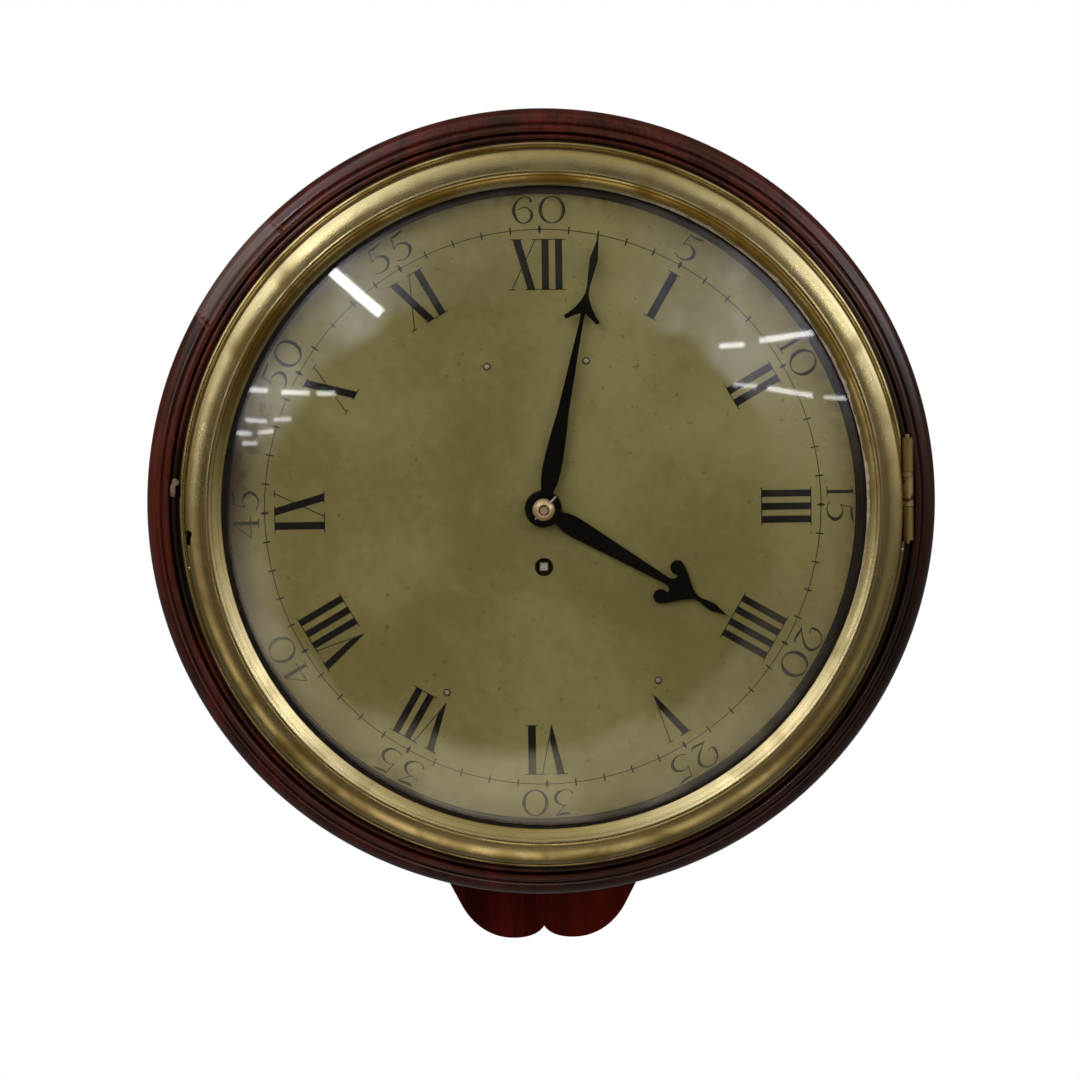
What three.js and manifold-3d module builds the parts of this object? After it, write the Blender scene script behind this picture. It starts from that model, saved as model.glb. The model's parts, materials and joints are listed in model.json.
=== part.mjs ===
import * as THREE from 'three';
import { mergeVertices } from 'three/addons/utils/BufferGeometryUtils.js';
import Module from 'manifold-3d';

// Round wall clock with a fusee movement, in millimetres. Every piece is drawn in the dial's own frame:
// x to the right, y up, z as the distance from the wall. The last group stands that frame upright.

// Clearances
const seatGap = 0.3;
const runningGap = 0.3;
const doorGap = 1;

// Depths, counted forward from the wall
const backboardThickness = 12;
const pendulumSpace = 38;
const plateThickness = 3;
const plateSpacing = 42;
const motionWorkSpace = 13;
const dialThickness = 2;
const seatThickness = 24;

// Dial
const dialRadius = 152.4;
const windingDrop = 28.6;
const windingHoleRadius = 4.5;
const footPlaces = { upper_left: [-26.4, 69.4], upper_right: [21.7, 71.6], lower_left: [-48.4, -89.3],
  lower_right: [55.1, -85.1] };
const footRadius = 3.2;
const footRivetRadius = 1.2;
const footRivetRise = 0.3;
const footTenonRadius = 2;
const footTenonReach = 5;

// Turned surround
const rebateGap = 0.5;
const platformWidth = 17.7;
const platformRise = 0.5;
const platformStep = 9.5;
const mouldingWidth = 15.8;
const edgeRoll = 6;
const edgeLift = 5.3;
const torusOffset = 8.4;
const torusDrop = 2.4;
const crestOffset = 5.6;
const crestRise = 2.3;
const quirkOffset = 3.4;
const quirkDrop = 0.6;
const openingClearance = 3;
const turnedBore = 40;

// Bezel, glass and putty
const skirtWidth = 8;
const skirtWall = 2.3;
const skirtRim = 0.6;
const skirtRoof = 1.9;
const beadHeight = 3.9;
const beadWidth = 2.2;
const grooveWidth = 1.8;
const grooveDepth = 0.7;
const sightMargin = 4.3;
const bezelRise = 8.2;
const crestInset = 8.3;
const shoulderDrop = 5.4;
const bandWidth = 3.1;
const bandDrop = 0.8;
const lipThickness = 0.7;
const glassOverlap = 3.3;
const glassThickness = 2;
const glassRise = 22;
const glassBed = 1.4;
const puttyThickness = 0.7;
const puttyWidth = 4.6;
const tabLength = 8.6;
const tabReach = 1.6;
const tabThickness = 2;
const tabHeight = 12.6;

// Bezel hinge and lock
const hingeLength = 50.7;
const hingeHeight = 6.5;
const knuckleRadius = 2.95;
const knuckleLift = 0.6;
const hingePinRadius = 1;
const hingePinProud = 1.5;
const leafThickness = 1.4;
const leafDepth = 8;
const bezelLeafWidth = 5.2;
const lockHeight = -9.2;
const lockInset = 5.7;
const lockStemRadius = 1.2;
const lockStemLength = 5;
const lockCamRadius = 2.2;
const lockCamThickness = 1.3;
const tongueLength = 6;
const tongueWidth = 2.6;
const keyholeRadius = 1.9;
const keyholeSlot = 2;
const keyholeLength = 5.3;

// Box and backboard
const boxHalfWidth = 88;
const boxWall = 12;
const boxTopEdge = 128;
const boxBottomEdge = -166;
const shoulderHeight = -150;
const tailTopWidth = 51.5;
const tailTopHeight = -200;
const tailTurnWidth = 42.6;
const tailTurnHeight = -217.3;
const tailLobeWidth = 15.5;
const tailBottom = -234.4;
const tailNotch = -228.2;
const hangerHalfWidth = 20;
const hangerHeight = 150;
const hangingHoleHeight = 155;
const hangingHoleRadius = 4.5;
const hangingBackRadius = 6.5;
const hangingPlateHalfWidth = 13;
const hangingPlateLow = 132;
const hangingPlateHigh = 166;
const hangingPlateThickness = 2.5;

// Battens and pegs
const battenThickness = 14;
const battenHalfLength = 100;
const battenDepth = 20;
const pegRadius = 4;
const pegHeight = 80;
const pegInside = 6;
const pegProud = 8;

// Doors in the box
const doorPinRadius = 1.5;
const doorPinEmbed = 8;
const sideDoorLow = -100;
const sideDoorHigh = 10;
const sideDoorRear = 6;
const sideDoorWidth = 36;
const bottomDoorHalfWidth = 40;
const bottomDoorRear = 12;
const bottomDoorWidth = 52;
const buttonReach = 8;
const buttonHalfWidth = 4;
const buttonThickness = 2;
const buttonEdge = 4.5;
const buttonScrewRadius = 1.5;
const buttonScrewLength = 6;

// Movement frame
const plateTop = 87;
const plateBottom = -97;
const plateTopHalf = 40;
const plateBottomHalf = 68;
const plateCorner = 8;
const pillarRadius = 4;
const pillarFlange = 5.5;
const pillarFlangeLength = 4;
const pillarTenon = 2.5;
const pillarTenonReach = 3;
const pillarInset = 8.5;
const topPillarSpread = 27;
const bottomPillarSpread = 38;

// Going train
const greatTeeth = 72;
const centreTeeth = 72;
const thirdTeeth = 72;
const escapeTeeth = 30;
const pinionLeaves = 6;
const centreModule = 0.7;
const thirdModule = 0.55;
const thirdSide = 14.2;
const arborRadius = 2;
const pivotRadius = 1.2;
const wheelThickness = 2;
const greatThickness = 3;
const pinionLength = 5;
const wheelHub = 5;
const wheelRim = 2.6;
const spokeWidth = 3;
const escapeRadius = 18;
const escapeToothDepth = 3.5;
const greatSetback = 3.5;
const centreSetback = 3;
const thirdSetback = 23;
const escapeSetback = 13;

// Fusee, barrel and line
const fuseeArborRadius = 3.5;
const fuseeBaseRadius = 18;
const fuseeTipRadius = 10;
const fuseeLength = 25;
const fuseeTailRadius = 2;
const windingSquare = 4.9;
const windingSetback = 3;
const barrelRadius = 20;
const barrelWall = 1.5;
const barrelEnd = 3;
const barrelGap = 1;
const barrelBearing = 215;
const barrelArborRadius = 4;
const barrelPivotRadius = 3;
const ratchetRadius = 8;
const ratchetTeeth = 16;
const ratchetThickness = 2;
const springThickness = 0.8;
const springTurns = 4;
const springHeight = 26;
const lineRadius = 0.8;
const linePitch = 2.4;
const fuseeLineTurns = 4;
const barrelLineTurns = 3;

// Escapement and pendulum
const palletDrop = 24.6;
const palletClearance = 1.2;
const palletHalfAngle = 46;
const palletThickness = 3;
const anchorHub = 5;
const pendulumSetback = 18;
const pendulumLength = 172.6;
const rodRadius = 2;
const bobRadius = 24;
const bobThickness = 14;
const nutRadius = 5;
const nutHeight = 5;
const rodTail = 4;
const crutchLength = 44;
const crutchThickness = 2;
const crutchSetback = 4;
const crutchCollar = 3.5;
const forkWidth = 1.5;
const cockFootHalfWidth = 14;
const cockFootThickness = 3;
const cockArmHalfWidth = 7;
const cockArmHeight = 8;
const cockArmRise = 10;
const cockReach = 24;
const cockBridge = 3;
const springHalfThickness = 0.4;
const springHalfWidth = 4;
const springDrop = 2;
const springBlockHalf = 4;
const springBlockHeight = 5;

// Motion work and hands
const motionDistance = 24;
const motionBearing = 35;
const cannonTeeth = 12;
const minuteTeeth = 36;
const minutePinionTeeth = 10;
const hourTeeth = 40;
const cannonLength = 3;
const cannonPipe = 3.4;
const hourPipe = 5.2;
const pipeStep = 0.5;
const studRadius = 2;
const motionGap = 1;
const centreFrontRadius = 2;
const handThickness = 1.2;
const hourHandLift = 1;
const minuteHandLift = 4;
const handBossRadius = 8.7;
const hourHandLength = 104.5;
const hourHandAngle = 121;
const hourHandSwell = 4.9;
const hourHeartReach = 33.5;
const hourHeartWidth = 8.2;
const hourLobeRadius = 3.6;
const minuteHandLength = 136.4;
const minuteHandAngle = 12.1;
const minuteHandSwell = 4.6;
const minuteBarbReach = 42;
const minuteBarbWidth = 7.4;
const minuteBarbRadius = 1.4;
const colletRadius = 5.2;
const colletHeight = 3;
const arborTipRadius = 1.8;
const arborTipRise = 3.6;
const handPinRadius = 0.6;
const handPinLength = 14;
const handPinAngle = 47;
const dialHoleClearance = 1;

// Facets
const ringSides = 48;
const roundSides = 24;
const smallSides = 12;
const curveSteps = 3;

// Depths and radii that follow from the sizes above
const boardFront = backboardThickness;
const backPlateRear = boardFront + pendulumSpace;
const backPlateFront = backPlateRear + plateThickness;
const frontPlateRear = backPlateFront + plateSpacing;
const frontPlateFront = frontPlateRear + plateThickness;
const dialRear = frontPlateFront + motionWorkSpace;
const dialFace = dialRear + dialThickness;
const dialSeat = dialRear - seatGap;
const surroundRear = dialSeat - seatThickness;
const boxRear = boardFront + seatGap;
const boxFront = surroundRear - seatGap;
const rebateRadius = dialRadius + rebateGap;
const platformRadius = rebateRadius + platformWidth;
const platformTop = dialFace + platformRise;
const bezelSeat = platformTop - platformStep;
const skirtRear = bezelSeat + seatGap;
const bezelRadius = platformRadius + skirtWidth;
const surroundRadius = bezelRadius + mouldingWidth;
const openingHalfWidth = plateBottomHalf + openingClearance;
const lipRadius = dialRadius + sightMargin;
const glassRadius = lipRadius + glassOverlap;
const glassRear = platformTop + glassBed;
const glassFront = glassRear + glassThickness;
const bezelRear = platformTop + seatGap;
const hingeX = bezelRadius + runningGap / 2;
const hingeDepth = bezelSeat + knuckleRadius + knuckleLift;
const lockRadius = bezelRadius - lockInset;
const lockX = -Math.sqrt(lockRadius ** 2 - lockHeight ** 2);
const lockRear = skirtRear;
const innerHalfWidth = boxHalfWidth - boxWall;
const greatModule = 2 * windingDrop / (greatTeeth + pinionLeaves);
const palletRear = backPlateFront + escapeSetback + wheelThickness / 2 - palletThickness / 2;

// Arbor places on the plates
const fusee = new THREE.Vector2(0, -windingDrop);
const centre = new THREE.Vector2(0, 0);
const thirdDistance = centreModule * (centreTeeth + pinionLeaves) / 2;
const escapeDistance = thirdModule * (thirdTeeth + pinionLeaves) / 2;
const third = new THREE.Vector2(thirdSide, Math.sqrt(thirdDistance ** 2 - thirdSide ** 2));
const escape = new THREE.Vector2(0, third.y + Math.sqrt(escapeDistance ** 2 - thirdSide ** 2));
const pallet = new THREE.Vector2(0, escape.y + palletDrop);
const wheelForm = { addendum: 0.8, dedendum: 1.3, tip: 0, root: 0.22 };
const pinionForm = { addendum: 0.5, dedendum: 1.2, tip: 0.1, root: 0.16 };
const motionForm = { addendum: 0.8, dedendum: 1.2, tip: 0, root: 0.22 };
const greatTip = greatModule * (greatTeeth / 2 + wheelForm.addendum);
const barrelDistance = greatTip + barrelRadius + barrelGap;
const barrel = polar(barrelDistance, barrelBearing).add(fusee);
const stud = polar(motionDistance, motionBearing);
const cannonModule = 2 * motionDistance / (cannonTeeth + minuteTeeth);
const hourModule = 2 * motionDistance / (minutePinionTeeth + hourTeeth);
const pillarPlaces = {
  upper_left: [-topPillarSpread, plateTop - pillarInset],
  upper_right: [topPillarSpread, plateTop - pillarInset],
  lower_left: [-bottomPillarSpread, plateBottom + pillarInset],
  lower_right: [bottomPillarSpread, plateBottom + pillarInset],
};
const pendulumPlane = backPlateRear - pendulumSetback;

// Wheel depths between and in front of the plates
const greatFront = frontPlateRear - greatSetback;
const greatRear = greatFront - greatThickness;
const centreRear = backPlateFront + centreSetback;
const thirdRear = backPlateFront + thirdSetback;
const escapeRear = backPlateFront + escapeSetback;
const cannonRear = frontPlateFront + motionGap;
const cannonFront = cannonRear + cannonLength;
const hourRear = cannonFront + motionGap;
const hourHandRear = dialFace + hourHandLift;
const hourHandFront = hourHandRear + handThickness;
const minuteHandRear = dialFace + minuteHandLift;
const minuteHandFront = minuteHandRear + handThickness;
const colletRear = minuteHandFront + seatGap;
const colletFront = colletRear + colletHeight;
const arborTip = colletFront + arborTipRise;

const wasm = await Module();
wasm.setup();

function radians(degrees) {
  return degrees * Math.PI / 180;
}

function polar(distance, degrees) {
  return new THREE.Vector2(distance * Math.cos(radians(degrees)), distance * Math.sin(radians(degrees)));
}

// A closed mesh as a solid, with shared vertices merged and flat triangles left out
function toSolid(geometry) {
  const bare = new THREE.BufferGeometry();
  bare.setAttribute('position', geometry.getAttribute('position'));
  bare.setIndex(geometry.index);
  const merged = mergeVertices(bare, 1e-4);
  const corners = merged.index.array;
  const triangles = [];
  for (let i = 0; i < corners.length; i += 3) {
    const [a, b, c] = corners.slice(i, i + 3);
    if (a !== b && b !== c && c !== a) triangles.push(a, b, c);
  }
  const vertProperties = new Float32Array(merged.getAttribute('position').array);
  const triVerts = new Uint32Array(triangles);
  return new wasm.Manifold(new wasm.Mesh({ numProp: 3, vertProperties, triVerts }));
}

function toGeometry(solid) {
  const { vertProperties, triVerts, numProp } = solid.getMesh();
  const geometry = new THREE.BufferGeometry();
  geometry.setAttribute('position', new THREE.Float32BufferAttribute(vertProperties, numProp));
  geometry.setIndex([...triVerts]);
  geometry.computeVertexNormals();
  return geometry;
}

function join(...geometries) {
  return toGeometry(geometries.map(toSolid).reduce((whole, next) => whole.add(next)));
}

function cut(base, ...tools) {
  return toGeometry(tools.map(toSolid).reduce((left, tool) => left.subtract(tool), toSolid(base)));
}

// The stretch on both sides of a middle
function span(middle, half) {
  return [middle - half, middle + half];
}

function block([left, right], [low, high], [rear, front]) {
  const box = new THREE.BoxGeometry(right - left, high - low, front - rear);
  return box.translate((left + right) / 2, (low + high) / 2, (rear + front) / 2);
}

function extruded(shape, rear, front, curveSegments = curveSteps) {
  const depth = front - rear;
  const geometry = new THREE.ExtrudeGeometry(shape, { depth, bevelEnabled: false, curveSegments });
  return geometry.translate(0, 0, rear);
}

// A round bar along z
function bar(radius, rear, front, sides = smallSides) {
  const geometry = new THREE.CylinderGeometry(radius, radius, front - rear, sides);
  return geometry.rotateX(Math.PI / 2).translate(0, 0, (rear + front) / 2);
}

function barAt([x, y], radius, rear, front, sides = smallSides) {
  return bar(radius, rear, front, sides).translate(x, y, 0);
}

// A round bar along x
function barAcross(radius, left, right, y, z, sides = smallSides) {
  const geometry = new THREE.CylinderGeometry(radius, radius, right - left, sides);
  return geometry.rotateZ(Math.PI / 2).translate((left + right) / 2, y, z);
}

// A round bar along y
function barUpright(radius, low, high, x, z, sides = smallSides) {
  return new THREE.CylinderGeometry(radius, radius, high - low, sides).translate(x, (low + high) / 2, z);
}

// A turned solid about z, from points of radius and depth that go round counter-clockwise
function turned(points, sides = roundSides) {
  return new THREE.LatheGeometry(points, sides).rotateX(Math.PI / 2);
}

function turnedRing(path, sides = ringSides) {
  const points = path.getPoints(curveSteps);
  points.push(points[0].clone());
  return turned(points, sides);
}

// A shaft about z, from sections of radius, rear and front
function spindle(sections, sides = smallSides) {
  const points = [new THREE.Vector2(0, sections[0][1])];
  for (const [radius, rear, front] of sections) {
    points.push(new THREE.Vector2(radius, rear), new THREE.Vector2(radius, front));
  }
  points.push(new THREE.Vector2(0, sections.at(-1)[2]));
  return turned(points, sides);
}

function roundHole(x, y, radius) {
  return new THREE.Path().absarc(x, y, radius, 0, 2 * Math.PI, true);
}

// Straight-flanked teeth, pointed where the tip has no width, with a tooth centred at the phase angle
function toothedShape(teeth, module, form, phase) {
  const pitch = module * teeth / 2;
  const tip = pitch + form.addendum * module;
  const root = pitch - form.dedendum * module;
  const crown = form.tip > 0 ? [[tip, -form.tip], [tip, form.tip]] : [[tip, 0]];
  const corners = [[root, -form.root], ...crown, [root, form.root]];
  const points = [];
  for (let tooth = 0; tooth < teeth; tooth += 1) {
    for (const [radius, share] of corners) points.push(polar(radius, phase + (tooth + share) * 360 / teeth));
  }
  return new THREE.Shape(points);
}

// The four openings between a wheel's crossings
function addCrossings(shape, outer, inner) {
  const steps = 4;
  for (let quarter = 0; quarter < 4; quarter += 1) {
    const points = [];
    for (const [radius, turn] of [[outer, 1], [inner, -1]]) {
      const edge = Math.asin(spokeWidth / 2 / radius) * 180 / Math.PI;
      for (let step = 0; step <= steps; step += 1) {
        const share = turn > 0 ? step / steps : 1 - step / steps;
        points.push(polar(radius, 90 * quarter + edge + share * (90 - 2 * edge)));
      }
    }
    shape.holes.push(new THREE.Path(points.reverse()));
  }
  return shape;
}

function crossedWheel(teeth, module, form, phase, rear, front) {
  const root = module * (teeth / 2 - form.dedendum);
  const shape = addCrossings(toothedShape(teeth, module, form, phase), root - wheelRim, wheelHub);
  return extruded(shape, rear, front);
}

function bearingOf(from, to) {
  return Math.atan2(to.y - from.y, to.x - from.x) * 180 / Math.PI;
}

// A pinion with a gap towards the wheel that it meshes with
function pinion(leaves, module, form, towards, rear, front) {
  return extruded(toothedShape(leaves, module, form, towards + 180 / leaves), rear, front);
}

// The half outline of a hand, from its tip down to its boss, with its mirror image
function mirroredShape(half) {
  const points = half.getPoints(curveSteps);
  const others = points.slice(1, -1).reverse().map((point) => new THREE.Vector2(-point.x, point.y));
  return new THREE.Shape([...points, ...others].reverse());
}

// Finishes
function paint(color, roughness, metalness) {
  return new THREE.MeshStandardMaterial({ color, roughness, metalness });
}
const mahogany = () => paint(0x46211e, 0.35, 0);
const darkWood = () => paint(0x2a0c08, 0.5, 0);
const castBrass = () => paint(0x8a7340, 0.35, 1);
const movementBrass = () => paint(0xb08d4a, 0.35, 1);
const dialBrass = () => paint(0x746845, 0.45, 0.8);
const bluedSteel = () => paint(0x12131a, 0.35, 0.9);
const brightSteel = () => paint(0x8d8d8f, 0.35, 1);
const clearGlass = () => paint(0xe8efe9, 0.03, 0);
const puttyGrey = () => paint(0x8b8272, 0.8, 0);
const gutBrown = () => paint(0x6d4a2a, 0.7, 0);

const clock = new THREE.Group();

function place(name, geometry, material, [x, y] = [0, 0], turn = 0) {
  const mesh = new THREE.Mesh(geometry, material);
  mesh.name = name;
  mesh.position.set(x, y, 0);
  mesh.rotation.z = radians(turn);
  clock.add(mesh);
}

// Case

function surround() {
  const outer = surroundRadius;
  const torus = bezelRadius + torusOffset;
  const crest = bezelRadius + crestOffset;
  const quirk = bezelRadius + quirkOffset;
  const crestFront = bezelSeat + crestRise;
  const quirkDepth = bezelSeat - quirkDrop;
  const torusFront = bezelSeat - torusDrop;
  const edge = surroundRear + edgeLift;
  const path = new THREE.Path().moveTo(turnedBore, surroundRear);
  path.lineTo(outer - edgeRoll, surroundRear);
  path.bezierCurveTo(outer - edgeRoll / 3, surroundRear, outer, surroundRear + edgeLift / 3, outer, edge);
  path.bezierCurveTo(outer, (edge + torusFront) / 2 + 0.6, torus + 3.6, torusFront, torus, torusFront);
  path.lineTo(torus - 0.6, torusFront);
  path.bezierCurveTo(torus - 0.6, crestFront - 1.5, crest + 1.4, crestFront, crest, crestFront);
  path.bezierCurveTo(crest - 1.4, crestFront, quirk + 0.2, crestFront - 1, quirk, quirkDepth);
  const bead = bezelRadius + seatGap;
  path.bezierCurveTo(quirk - 0.2, bezelSeat + 1.6, bead + 0.2, bezelSeat + 2.2, bead, bezelSeat);
  path.lineTo(platformRadius, bezelSeat);
  path.lineTo(platformRadius, platformTop);
  path.lineTo(rebateRadius, platformTop);
  path.lineTo(rebateRadius, dialSeat);
  path.lineTo(turnedBore, dialSeat);
  const hingeSpan = span(hingeHeight, hingeLength / 2 + hingePinProud + runningGap);
  const recessFloor = bezelSeat - knuckleLift;
  const recess = block(span(hingeX, knuckleRadius + knuckleLift), hingeSpan, [recessFloor, dialFace]);
  const mortiseFloor = recessFloor - leafDepth - seatGap;
  const mortise = block(span(hingeX, leafThickness / 2 + seatGap), hingeSpan, [mortiseFloor, dialFace]);
  const sweep = tongueLength + seatGap;
  const notch = block([lockX, lockX + sweep], [lockHeight - sweep, lockHeight + tongueWidth],
    [bezelSeat - knuckleLift, lockRear + lockCamThickness + 1]);
  const openingHeight = [plateBottom - openingClearance, plateTop + openingClearance];
  const opening = block(span(0, openingHalfWidth), openingHeight, [surroundRear - 1, dialSeat + 1]);
  return cut(turnedRing(path), opening, recess, mortise, notch);
}

// The stretch between two distances from the middle, on the left or the right
function onSide(side, inner, outer) {
  return side > 0 ? [inner, outer] : [-outer, -inner];
}

const pegDepth = boxFront - battenDepth / 2;
const battenInner = boxHalfWidth + seatGap;
const battenOuter = battenInner + battenThickness;

function pegHoles(side) {
  const ends = onSide(side, innerHalfWidth - 1, battenOuter + 1);
  return [pegHeight, -pegHeight].map((y) => barAcross(pegRadius + runningGap, ...ends, y, pegDepth));
}

function batten(side) {
  const wood = block(onSide(side, battenInner, battenOuter), [-battenHalfLength, battenHalfLength],
    [boxFront - battenDepth, boxFront]);
  return cut(wood, ...pegHoles(side));
}

function peg(side, y) {
  const ends = onSide(side, innerHalfWidth - pegInside, battenOuter + pegProud);
  return barAcross(pegRadius, ...ends, y, pegDepth);
}

function backboard() {
  const half = new THREE.Path().moveTo(0, hangerHeight + hangerHalfWidth);
  half.absarc(0, hangerHeight, hangerHalfWidth, Math.PI / 2, 0, true);
  half.lineTo(hangerHalfWidth, boxTopEdge);
  half.lineTo(boxHalfWidth, boxTopEdge);
  half.lineTo(boxHalfWidth, shoulderHeight);
  half.quadraticCurveTo(tailTopWidth + 8, tailTopHeight + 24, tailTopWidth, tailTopHeight);
  half.lineTo(tailTurnWidth, tailTurnHeight);
  half.bezierCurveTo(tailTurnWidth - 5.1, tailTurnHeight - 9.2, tailLobeWidth + 13, tailBottom,
    tailLobeWidth, tailBottom);
  half.bezierCurveTo(tailLobeWidth / 2, tailBottom, 2.5, tailNotch - 4, 0, tailNotch);
  const shape = mirroredShape(half);
  const hook = bar(hangingBackRadius, -1, boardFront + 1).translate(0, hangingHoleHeight, 0);
  return cut(extruded(shape, 0, boardFront), hook);
}

function hangingPlate() {
  const rear = boardFront + seatGap;
  const front = rear + hangingPlateThickness;
  const width = [-hangingPlateHalfWidth, hangingPlateHalfWidth];
  const sheet = block(width, [hangingPlateLow, hangingPlateHigh], [rear, front]);
  return cut(sheet, bar(hangingHoleRadius, rear - 1, front + 1).translate(0, hangingHoleHeight, 0));
}

const sideDoorPinX = boxHalfWidth - boxWall / 2;
const sideDoorPinDepth = boxRear + sideDoorRear + boxWall / 2;
const sideDoorFront = sideDoorPinDepth - boxWall / 2 + sideDoorWidth;
const bottomDoorPinHeight = boxBottomEdge + boxWall / 2;
const bottomDoorPinDepth = boxRear + bottomDoorRear + boxWall / 2;
const bottomDoorFront = bottomDoorPinDepth - boxWall / 2 + bottomDoorWidth;
const sideButtonHeight = (sideDoorLow + sideDoorHigh) / 2;
const sideButtonDepth = sideDoorFront + doorGap + buttonEdge;
const bottomButtonDepth = bottomDoorFront + doorGap + buttonEdge;

function boxSide(side) {
  const height = [boxBottomEdge, boxTopEdge];
  const wood = block(onSide(side, innerHalfWidth, boxHalfWidth), height, [boxRear, boxFront]);
  const drilled = cut(wood, ...pegHoles(side));
  if (side < 0) return drilled;
  const opening = block(span(sideDoorPinX, boxWall), [sideDoorLow - doorGap, sideDoorHigh + doorGap],
    [sideDoorPinDepth - boxWall / 2 - doorGap, sideDoorFront + doorGap]);
  const reach = doorPinEmbed + seatGap;
  const bore = barUpright(doorPinRadius + runningGap, sideDoorLow - reach, sideDoorHigh + reach,
    sideDoorPinX, sideDoorPinDepth);
  const screw = barAcross(buttonScrewRadius + runningGap, boxHalfWidth - buttonScrewLength - seatGap,
    boxHalfWidth + 1, sideButtonHeight, sideButtonDepth);
  return cut(drilled, opening, bore, screw);
}

function boxTop() {
  const width = innerHalfWidth - seatGap;
  return block([-width, width], [boxTopEdge - boxWall, boxTopEdge], [boxRear, boxFront]);
}

function boxBottom() {
  const width = innerHalfWidth - seatGap;
  const wood = block([-width, width], [boxBottomEdge, boxBottomEdge + boxWall], [boxRear, boxFront]);
  const half = bottomDoorHalfWidth + doorGap;
  const opening = block([-half, half], [boxBottomEdge - 1, boxBottomEdge + boxWall + 1],
    [bottomDoorPinDepth - boxWall / 2 - doorGap, bottomDoorFront + doorGap]);
  const reach = bottomDoorHalfWidth + doorPinEmbed + seatGap;
  const bore = barAcross(doorPinRadius + runningGap, -reach, reach, bottomDoorPinHeight, bottomDoorPinDepth);
  const screw = barUpright(buttonScrewRadius + runningGap, boxBottomEdge - 1,
    boxBottomEdge + buttonScrewLength + seatGap, 0, bottomButtonDepth);
  return cut(wood, opening, bore, screw);
}

function sideDoor() {
  const height = [sideDoorLow, sideDoorHigh];
  const leaf = block([innerHalfWidth, boxHalfWidth], height, [sideDoorPinDepth, sideDoorFront]);
  const edge = barUpright(boxWall / 2, ...height, sideDoorPinX, sideDoorPinDepth, roundSides);
  const bore = barUpright(doorPinRadius + runningGap, sideDoorLow - 1, sideDoorHigh + 1,
    sideDoorPinX, sideDoorPinDepth);
  return cut(join(leaf, edge), bore);
}

function bottomDoor() {
  const width = [-bottomDoorHalfWidth, bottomDoorHalfWidth];
  const leaf = block(width, [boxBottomEdge, boxBottomEdge + boxWall], [bottomDoorPinDepth, bottomDoorFront]);
  const edge = barAcross(boxWall / 2, ...width, bottomDoorPinHeight, bottomDoorPinDepth, roundSides);
  const reach = bottomDoorHalfWidth + 1;
  const bore = barAcross(doorPinRadius + runningGap, -reach, reach, bottomDoorPinHeight, bottomDoorPinDepth);
  return cut(join(leaf, edge), bore);
}

// A turn-button with its screw, drawn with the screw along z and the free end along x
function turnButton() {
  const shape = new THREE.Shape().absarc(buttonReach, 0, buttonHalfWidth, -Math.PI / 2, Math.PI / 2);
  shape.absarc(0, 0, buttonHalfWidth, Math.PI / 2, 1.5 * Math.PI);
  const leaf = extruded(shape, seatGap, seatGap + buttonThickness);
  return join(leaf, bar(buttonScrewRadius, -buttonScrewLength, seatGap + buttonThickness / 2));
}

// Bezel, glass, hinge and lock

const knuckleLength = hingeLength / 3;
const bezelLeafRear = bezelSeat + seatGap;

function bezel() {
  const outer = bezelRadius;
  const crestFront = platformTop + bezelRise;
  const crest = lipRadius + crestInset;
  const lipRear = glassFront + seatGap + (glassRadius ** 2 - lipRadius ** 2) / (2 * glassSphere());
  const bead = skirtRear + beadHeight;
  const groove = outer - beadWidth - grooveWidth / 2;
  const inner = outer - skirtWall;
  const recess = glassRadius + 2 * seatGap;
  const clear = platformRadius + 2 * seatGap;
  const path = new THREE.Path().moveTo(inner, skirtRear);
  path.lineTo(outer - skirtRim, skirtRear);
  path.lineTo(outer, skirtRear + skirtRim);
  path.quadraticCurveTo(outer, bead, outer - beadWidth, bead);
  path.lineTo(groove, bead - grooveDepth);
  const wall = groove - grooveWidth / 2;
  const band = wall - bandWidth;
  path.lineTo(wall, bead + grooveDepth);
  path.lineTo(wall, crestFront - shoulderDrop);
  path.bezierCurveTo(wall, crestFront - shoulderDrop / 2, band + 2 * bandWidth / 3,
    crestFront - 1.6 * bandDrop, band, crestFront - bandDrop);
  path.bezierCurveTo(band - 2.2, crestFront - bandDrop / 4, crest + 2.4, crestFront, crest, crestFront);
  path.bezierCurveTo(crest - 2.8, crestFront, lipRadius + 1.4, lipRear + 2 * lipThickness,
    lipRadius, lipRear + lipThickness);
  path.lineTo(lipRadius, lipRear);
  path.lineTo(recess, glassFront + seatGap);
  path.lineTo(recess, bezelRear);
  path.lineTo(clear, bezelRear);
  path.lineTo(clear, bezelRear - skirtRoof);
  path.lineTo(inner - 3.6, bead);
  path.lineTo(inner - 2.4, skirtRear + skirtRoof + 0.4);
  path.lineTo(inner, skirtRear + skirtRoof);
  const hingeSpan = span(hingeHeight, hingeLength / 2 + hingePinProud + runningGap);
  const hingeNotch = block(span(hingeX, knuckleRadius + runningGap), hingeSpan, [bezelSeat, crestFront]);
  const leafSpan = span(hingeHeight, knuckleLength / 2 + runningGap);
  const leafNotch = block([hingeX - bezelLeafWidth - runningGap, hingeX], leafSpan,
    [bezelSeat, bezelLeafRear + leafThickness + seatGap]);
  const front = crestFront + 1;
  const keyhole = barAt([lockX, lockHeight], keyholeRadius, skirtRear, front);
  const slot = block(span(lockX, keyholeSlot / 2), [lockHeight - keyholeLength, lockHeight], [bead, front]);
  const tab = block(span(-outer, tabReach), span(tabHeight, tabLength / 2), [bead - tabThickness, bead]);
  return cut(join(turnedRing(path), tab), hingeNotch, leafNotch, keyhole, slot);
}

// The radius of the ball that the glass is a cap of
function glassSphere() {
  return (glassRadius ** 2 + glassRise ** 2) / (2 * glassRise);
}

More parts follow.
